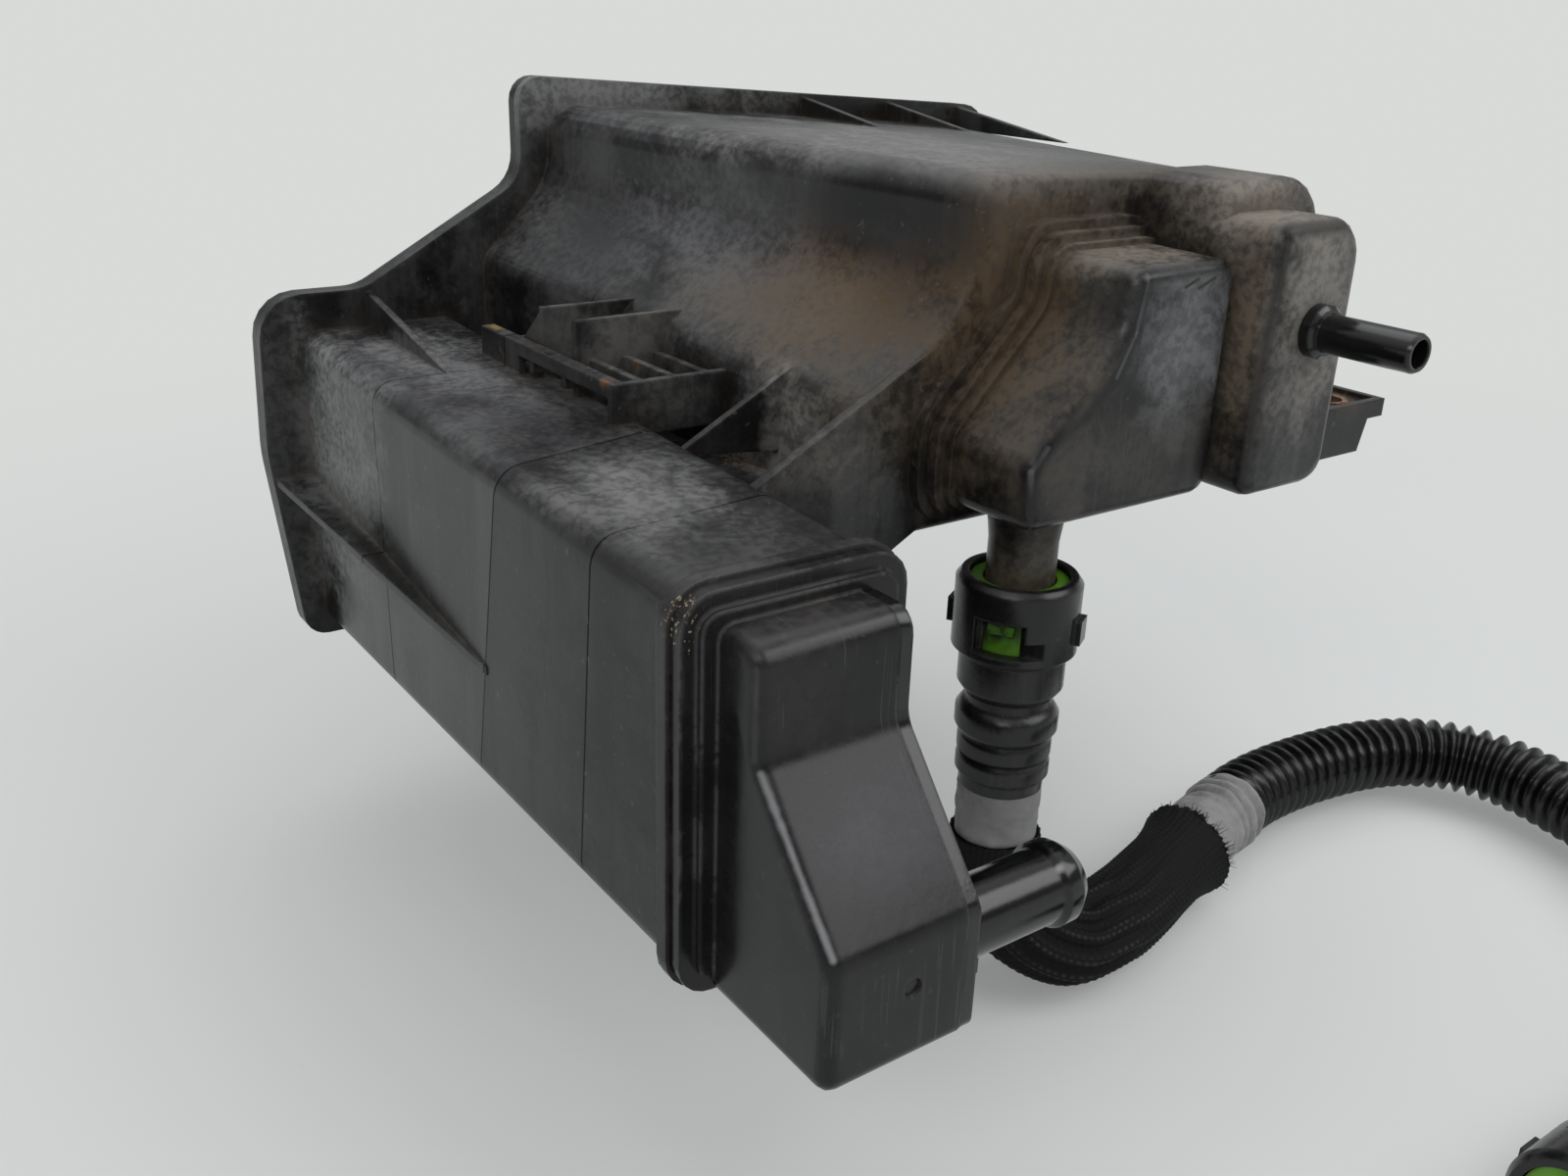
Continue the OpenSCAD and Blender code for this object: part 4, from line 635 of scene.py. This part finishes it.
# Grey tape: cloth tape wound on by hand, round the hose's end under the connector and round the
# sleeve's frayed end. It is wrinkled, dirty, and shows the corrugations where it covers them. Its
# creases and the cuff under the main cap are darkened as painted shade.
tape = Finish("tape", Roughness=0.62, Sheen_Weight=0.15, Sheen_Roughness=0.5)
tape_blotch = tape.noise(140, 5, 0.65)
tape_weave = tape.noise(1, 3, 0.6, at=tape.stretched((1500, 1500, 1500)))
tape_colour = tape.mix(tape_blotch, (0.140, 0.138, 0.138), (0.320, 0.316, 0.316))
tape_dirt = tape.between(tape.noise(60, 5, 0.7), 0.45, 0.70)
tape_colour = tape.mix(tape.times(tape_dirt, 0.55), tape_colour, (0.055, 0.050, 0.042))
# Creases of the tape darkened: painted shade.
tape_crease_shade = tape.times(tape.between(tape.creases(0.006), 0.2, 0.8), 0.7)
tape_colour = tape.mix(tape_crease_shade, tape_colour, (0.03, 0.028, 0.025))
# Cuff below the main cap darkened: painted shadow of the canister.
cap_shadow = tape.between(tape.near(cuff_points[0], (0.02, 0.02, 0.03)), 1.0, 0.6, 0.0, 0.45)
tape_colour = tape.mix(cap_shadow, tape_colour, (0.055, 0.055, 0.052))
tape.put(tape_colour, tape.shader.inputs["Base Color"])
tape.bump(tape.sum("ADD", tape.times(tape_weave, 0.4), tape.times(tape_blotch, 0.6)), 0.0003, 0.5)


def span(start, end):
    """Part of the hose's line between two distances along it."""
    return [place for place in hose_line if start <= place[0] <= end]


def crumple(distance, angle, seed):
    """Wrinkles of hand-wound tape, as a share from -1 to 1."""
    across, along, finer = 2.2, 260, 2.3
    round_about = Vector((math.cos(angle) * across, math.sin(angle) * across, distance * along + seed))
    return noise.noise(round_about) + 0.5 * noise.noise(round_about * finer)


def cuff_radius(distance, angle):
    """Radius of the tape at the connector, which steps down with each lap."""
    plain_radius, wrinkle, lap_width, lap_step, lap_turn = 0.0120, 0.00045, 0.006, 0.0001, 6.3
    laps = math.floor(distance / lap_width + angle / lap_turn)
    return plain_radius + wrinkle * crumple(distance, angle, 3) - lap_step * laps


def tape_radius(distance, angle):
    """Radius of the tape at the sleeve's end, where the corrugations press through it."""
    plain_radius, wrinkle, rib_height, rib_sink, lean_height = 0.0124, 0.0006, 0.0018, 0.0008, 0.00035
    ribbed = max(0.0, min(1.0, (distance - tape_end + 0.010) / 0.006))
    ribs = 0.5 + 0.5 * math.cos(2 * math.pi * distance / rib_pitch + 0.5 * math.sin(angle + 1))
    lean = lean_height * math.sin(angle * 2 + distance * 420)
    return (plain_radius + wrinkle * crumple(distance, angle, 11) + lean
            + ribbed * (rib_height * ribs ** 0.6 - rib_sink))


tape_overlap = 0.004
cuff_bm = swept_tube(span(0, cuff_end), tape_sides, cuff_radius)
bmesh.ops.holes_fill(cuff_bm, edges=[e for e in cuff_bm.edges if e.is_boundary], sides=0)
cuff_tape = shown("cuff_tape", cuff_bm, tape.material)
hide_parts("hose_cuff")
tape_bm = swept_tube(span(sleeve_end - tape_overlap, tape_end + taped_ribs), tape_sides, tape_radius)
bmesh.ops.holes_fill(tape_bm, edges=[e for e in tape_bm.edges if e.is_boundary], sides=0)
sleeve_tape = shown("sleeve_tape", tape_bm, tape.material)
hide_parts("tape_wrap")

# Braided sleeve: woven black polyester drawn over the hose, folded lengthwise at the bend and
# frayed at its open end, where the cut yarns stand out. Its yarn crests, most on the folds, are
# painted paler as painted highlights.
weave_rows, weave_pitch, weave_radius, yarn_height = 46, 0.0021, 0.0129, 0.00055
fold_count, fold_height, fold_middle = 12, 0.0012, 0.40
flare_start, flare_height = 0.86, 0.0024
ragged_start, ragged_depth = 0.93, 0.0026
sleeve_length = sleeve_end - cuff_end


def yarn_crest(distance, angle):
    """How far a yarn stands out of the weave, from 0 to 1."""
    row = angle / (2 * math.pi) * weave_rows
    half = 0.5 * (math.floor(row) % 2)
    over = 0.5 + 0.5 * math.cos(2 * math.pi * (distance / weave_pitch + half))
    return abs(math.sin(math.pi * row)) ** 0.6 * (0.35 + 0.65 * over)


def fold_crest(distance, angle):
    """Height of the lengthwise folds at the bend, from -1 to 1."""
    share = (distance - cuff_end) / sleeve_length
    bend_share = max(0.0, 1 - abs(share - fold_middle) / fold_middle)
    return bend_share * math.cos(fold_count * angle + 3 * noise.noise(Vector((0, 0, distance * 60))))


def crest_highlight_share(distance, angle):
    """How much painted highlight a place gets, most on yarns that lie on a fold."""
    return yarn_crest(distance, angle) * (0.45 + 0.9 * max(0.0, fold_crest(distance, angle)))


def sleeve_radius(distance, angle):
    """Radius of the sleeve, with its weave, its folds and the flare at the open end."""
    share = (distance - cuff_end) / sleeve_length
    opened = max(0.0, (share - flare_start) / (1 - flare_start)) ** 1.7
    flare = flare_height * opened * (0.8 + 0.4 * math.cos(angle * 2 + 0.6))
    return (weave_radius + yarn_height * yarn_crest(distance, angle)
            + fold_height * fold_crest(distance, angle) + flare)


def sleeve_ragged(distance, angle):
    """How far the cut end is drawn out or in along the hose."""
    share = (distance - cuff_end) / sleeve_length
    if share < ragged_start:
        return 0.0
    tooth = noise.noise(Vector((math.cos(angle) * 9, math.sin(angle) * 9, 5)))
    return ragged_depth * tooth * (share - ragged_start) / (1 - ragged_start)


sleeve_line = span(cuff_end, sleeve_end)
sleeve_bm = swept_tube(sleeve_line, weave_rows * 4, sleeve_radius, sleeve_ragged, crest_highlight_share)
braid = Finish("braid", Roughness=0.75, Specular_IOR_Level=0.22)
crest = braid.node("ShaderNodeAttribute", attribute_name="crest").outputs["Fac"]
yarns = braid.noise(1, 4, 0.6, at=braid.stretched((1300, 1300, 1300)))
braid_blotch = braid.noise(70, 6, 0.65)
# Yarn and fold crests painted paler: painted highlights.
crest_highlight = braid.times(braid.between(crest, 0.30, 1.10), braid.between(braid_blotch, 0.35, 0.65, 0.25, 1.0))
braid_colour = braid.mix(yarns, (0.0016, 0.0016, 0.0016), (0.0045, 0.0044, 0.0044))
braid_colour = braid.mix(braid.times(crest_highlight, 0.85), braid_colour, (0.050, 0.048, 0.049))
braid.put(braid_colour, braid.shader.inputs["Base Color"])
braid.bump(yarns, 0.0003, 0.6)
woven_sleeve = shown("woven_sleeve", sleeve_bm, braid.material)
wall = woven_sleeve.modifiers.new("wall", "SOLIDIFY")
wall.thickness, wall.offset = 0.0008, -1
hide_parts("braided_sleeve")

yarn_count, yarn_thick, yarn_thin, yarn_sunk = 150, 0.00013, 0.00005, 0.0014
frayed_bm = bmesh.new()
draw = random.Random(7)
end_place, end_heading = sleeve_line[-1][1], (sleeve_line[-1][1] - sleeve_line[-5][1]).normalized()
end_across = end_heading.cross(Vector((0, 0, 1))).normalized()
for k in range(yarn_count):
    angle = draw.uniform(0, 2 * math.pi)
    out = end_across * math.cos(angle) + Vector((0, 0, 1)) * math.sin(angle)
    lean = (end_heading * draw.uniform(0.4, 1.2) + out * draw.uniform(0.1, 0.9)
            + Vector([draw.uniform(-0.5, 0.5) for _ in range(3)])).normalized()
    length = draw.uniform(0.0014, 0.0040)
    root = end_place + out * draw.uniform(0.0138, 0.0150) - end_heading * yarn_sunk
    yarn_end = bmesh.ops.create_cone(frayed_bm, segments=4, radius1=yarn_thick, radius2=yarn_thin, depth=length)
    turn = lean.to_track_quat("Z", "Y").to_matrix().to_4x4()
    bmesh.ops.transform(frayed_bm, verts=yarn_end["verts"],
                        matrix=Matrix.Translation(root + lean * length / 2) @ turn)
frayed_yarns = shown("frayed_yarns", frayed_bm, braid.material, False)

# Stage: a pale paper table top that runs back out of sight, softboxes above and at both sides, and a
# room that is pale along the table, dim above it and bright overhead, with a dark screen at the left.
floor_gap, floor_half = 0.0001, 40
floor_z = cad_box[0][2] - floor_gap
floor_bm = bmesh.new()
bmesh.ops.create_grid(floor_bm, x_segments=1, y_segments=1, size=floor_half)
bmesh.ops.translate(floor_bm, verts=floor_bm.verts, vec=(0, 0, floor_z))
floor_mesh = bpy.data.meshes.new("table_top")
floor_bm.to_mesh(floor_mesh)
floor_bm.free()
table_top = bpy.data.objects.new("table_top", floor_mesh)
scene.collection.objects.link(table_top)
paper_colour, far_paper = (0.600, 0.610, 0.606), (0.690, 0.705, 0.690)
paper = Finish("paper", Roughness=0.9, Specular_IOR_Level=0.1)
paper.put(paper.mix(paper.noise(3, 2), [c * 0.98 for c in paper_colour], [c * 1.02 for c in paper_colour]),
          paper.shader.inputs["Base Color"])
glow = paper.node("ShaderNodeEmission")
glow.inputs["Color"].default_value = (*far_paper, 1)
rays = paper.node("ShaderNodeLightPath")
seen = paper.sum("MAXIMUM", rays.outputs["Is Camera Ray"], paper.sum(
    "MAXIMUM", rays.outputs["Is Glossy Ray"], rays.outputs["Is Transmission Ray"]))
far_off = paper.between(paper.near((0.16, -0.10, floor_z), (1, 1, 1)), 0.22, 0.95, 0.28, 1.0)
blend = paper.node("ShaderNodeMixShader")
paper.put(paper.times(seen, far_off), blend.inputs[0])
paper.put(paper.shader.outputs["BSDF"], blend.inputs[1])
paper.put(glow.outputs["Emission"], blend.inputs[2])
paper.put(blend.outputs["Shader"], paper.surface)
floor_mesh.materials.append(paper.material)


def softbox(name, place, aim, width, height, power):
    """A soft lamp at a place, turned to its aim."""
    lamp = bpy.data.lights.new(name, "AREA")
    lamp.shape, lamp.size, lamp.size_y, lamp.energy = "RECTANGLE", width, height, power
    made = bpy.data.objects.new(name, lamp)
    made.location = place
    made.rotation_mode = "QUATERNION"
    made.rotation_quaternion = (Vector(aim) - Vector(place)).to_track_quat("-Z", "Y")
    scene.collection.objects.link(made)


softbox("overhead", (0.25, 0.35, 1.5), (0.05, -0.05, -0.1), 1.4, 1.4, 7)
softbox("window", (0.77, -0.94, 0.93), (0.0, -0.15, -0.1), 1.1, 0.8, 7.5)
softbox("lamp_left", (-0.95, -0.75, 0.80), (0.0, -0.15, -0.1), 0.75, 0.30, 4.5)
room = bpy.data.worlds.new("room")
room.use_nodes = True
room_nodes, join = room.node_tree.nodes, room.node_tree.links.new
backdrop = room_nodes["Background"]
way = room_nodes.new("ShaderNodeTexCoord").outputs["Generated"]
way_parts = room_nodes.new("ShaderNodeSeparateXYZ")
screen_way = room_nodes.new("ShaderNodeVectorMath")
screen_way.operation = "DOT_PRODUCT"
screen_way.inputs[1].default_value = (-0.63, 0.77, 0.0)
screen = room_nodes.new("ShaderNodeMapRange")
for socket, number in (("From Min", 0.65), ("From Max", 0.90), ("To Min", 0.0), ("To Max", 0.11)):
    screen.inputs[socket].default_value = number
height = room_nodes.new("ShaderNodeMath")
walls = room_nodes.new("ShaderNodeValToRGB")
walls.color_ramp.elements[0].color = (*far_paper, 1)
walls.color_ramp.elements[1].position, walls.color_ramp.elements[1].color = 0.80, (0.84, 0.86, 0.88, 1)
for place, tone in ((0.14, far_paper), (0.22, (0.20, 0.20, 0.21)), (0.36, (0.26, 0.26, 0.27))):
    walls.color_ramp.elements.new(place).color = (*tone, 1)
join(way, way_parts.inputs[0])
join(way, screen_way.inputs[0])
join(screen_way.outputs["Value"], screen.inputs["Value"])
join(way_parts.outputs["Z"], height.inputs[0])
join(screen.outputs[0], height.inputs[1])
join(height.outputs[0], walls.inputs[0])
join(walls.outputs["Color"], backdrop.inputs["Color"])
scene.world = room
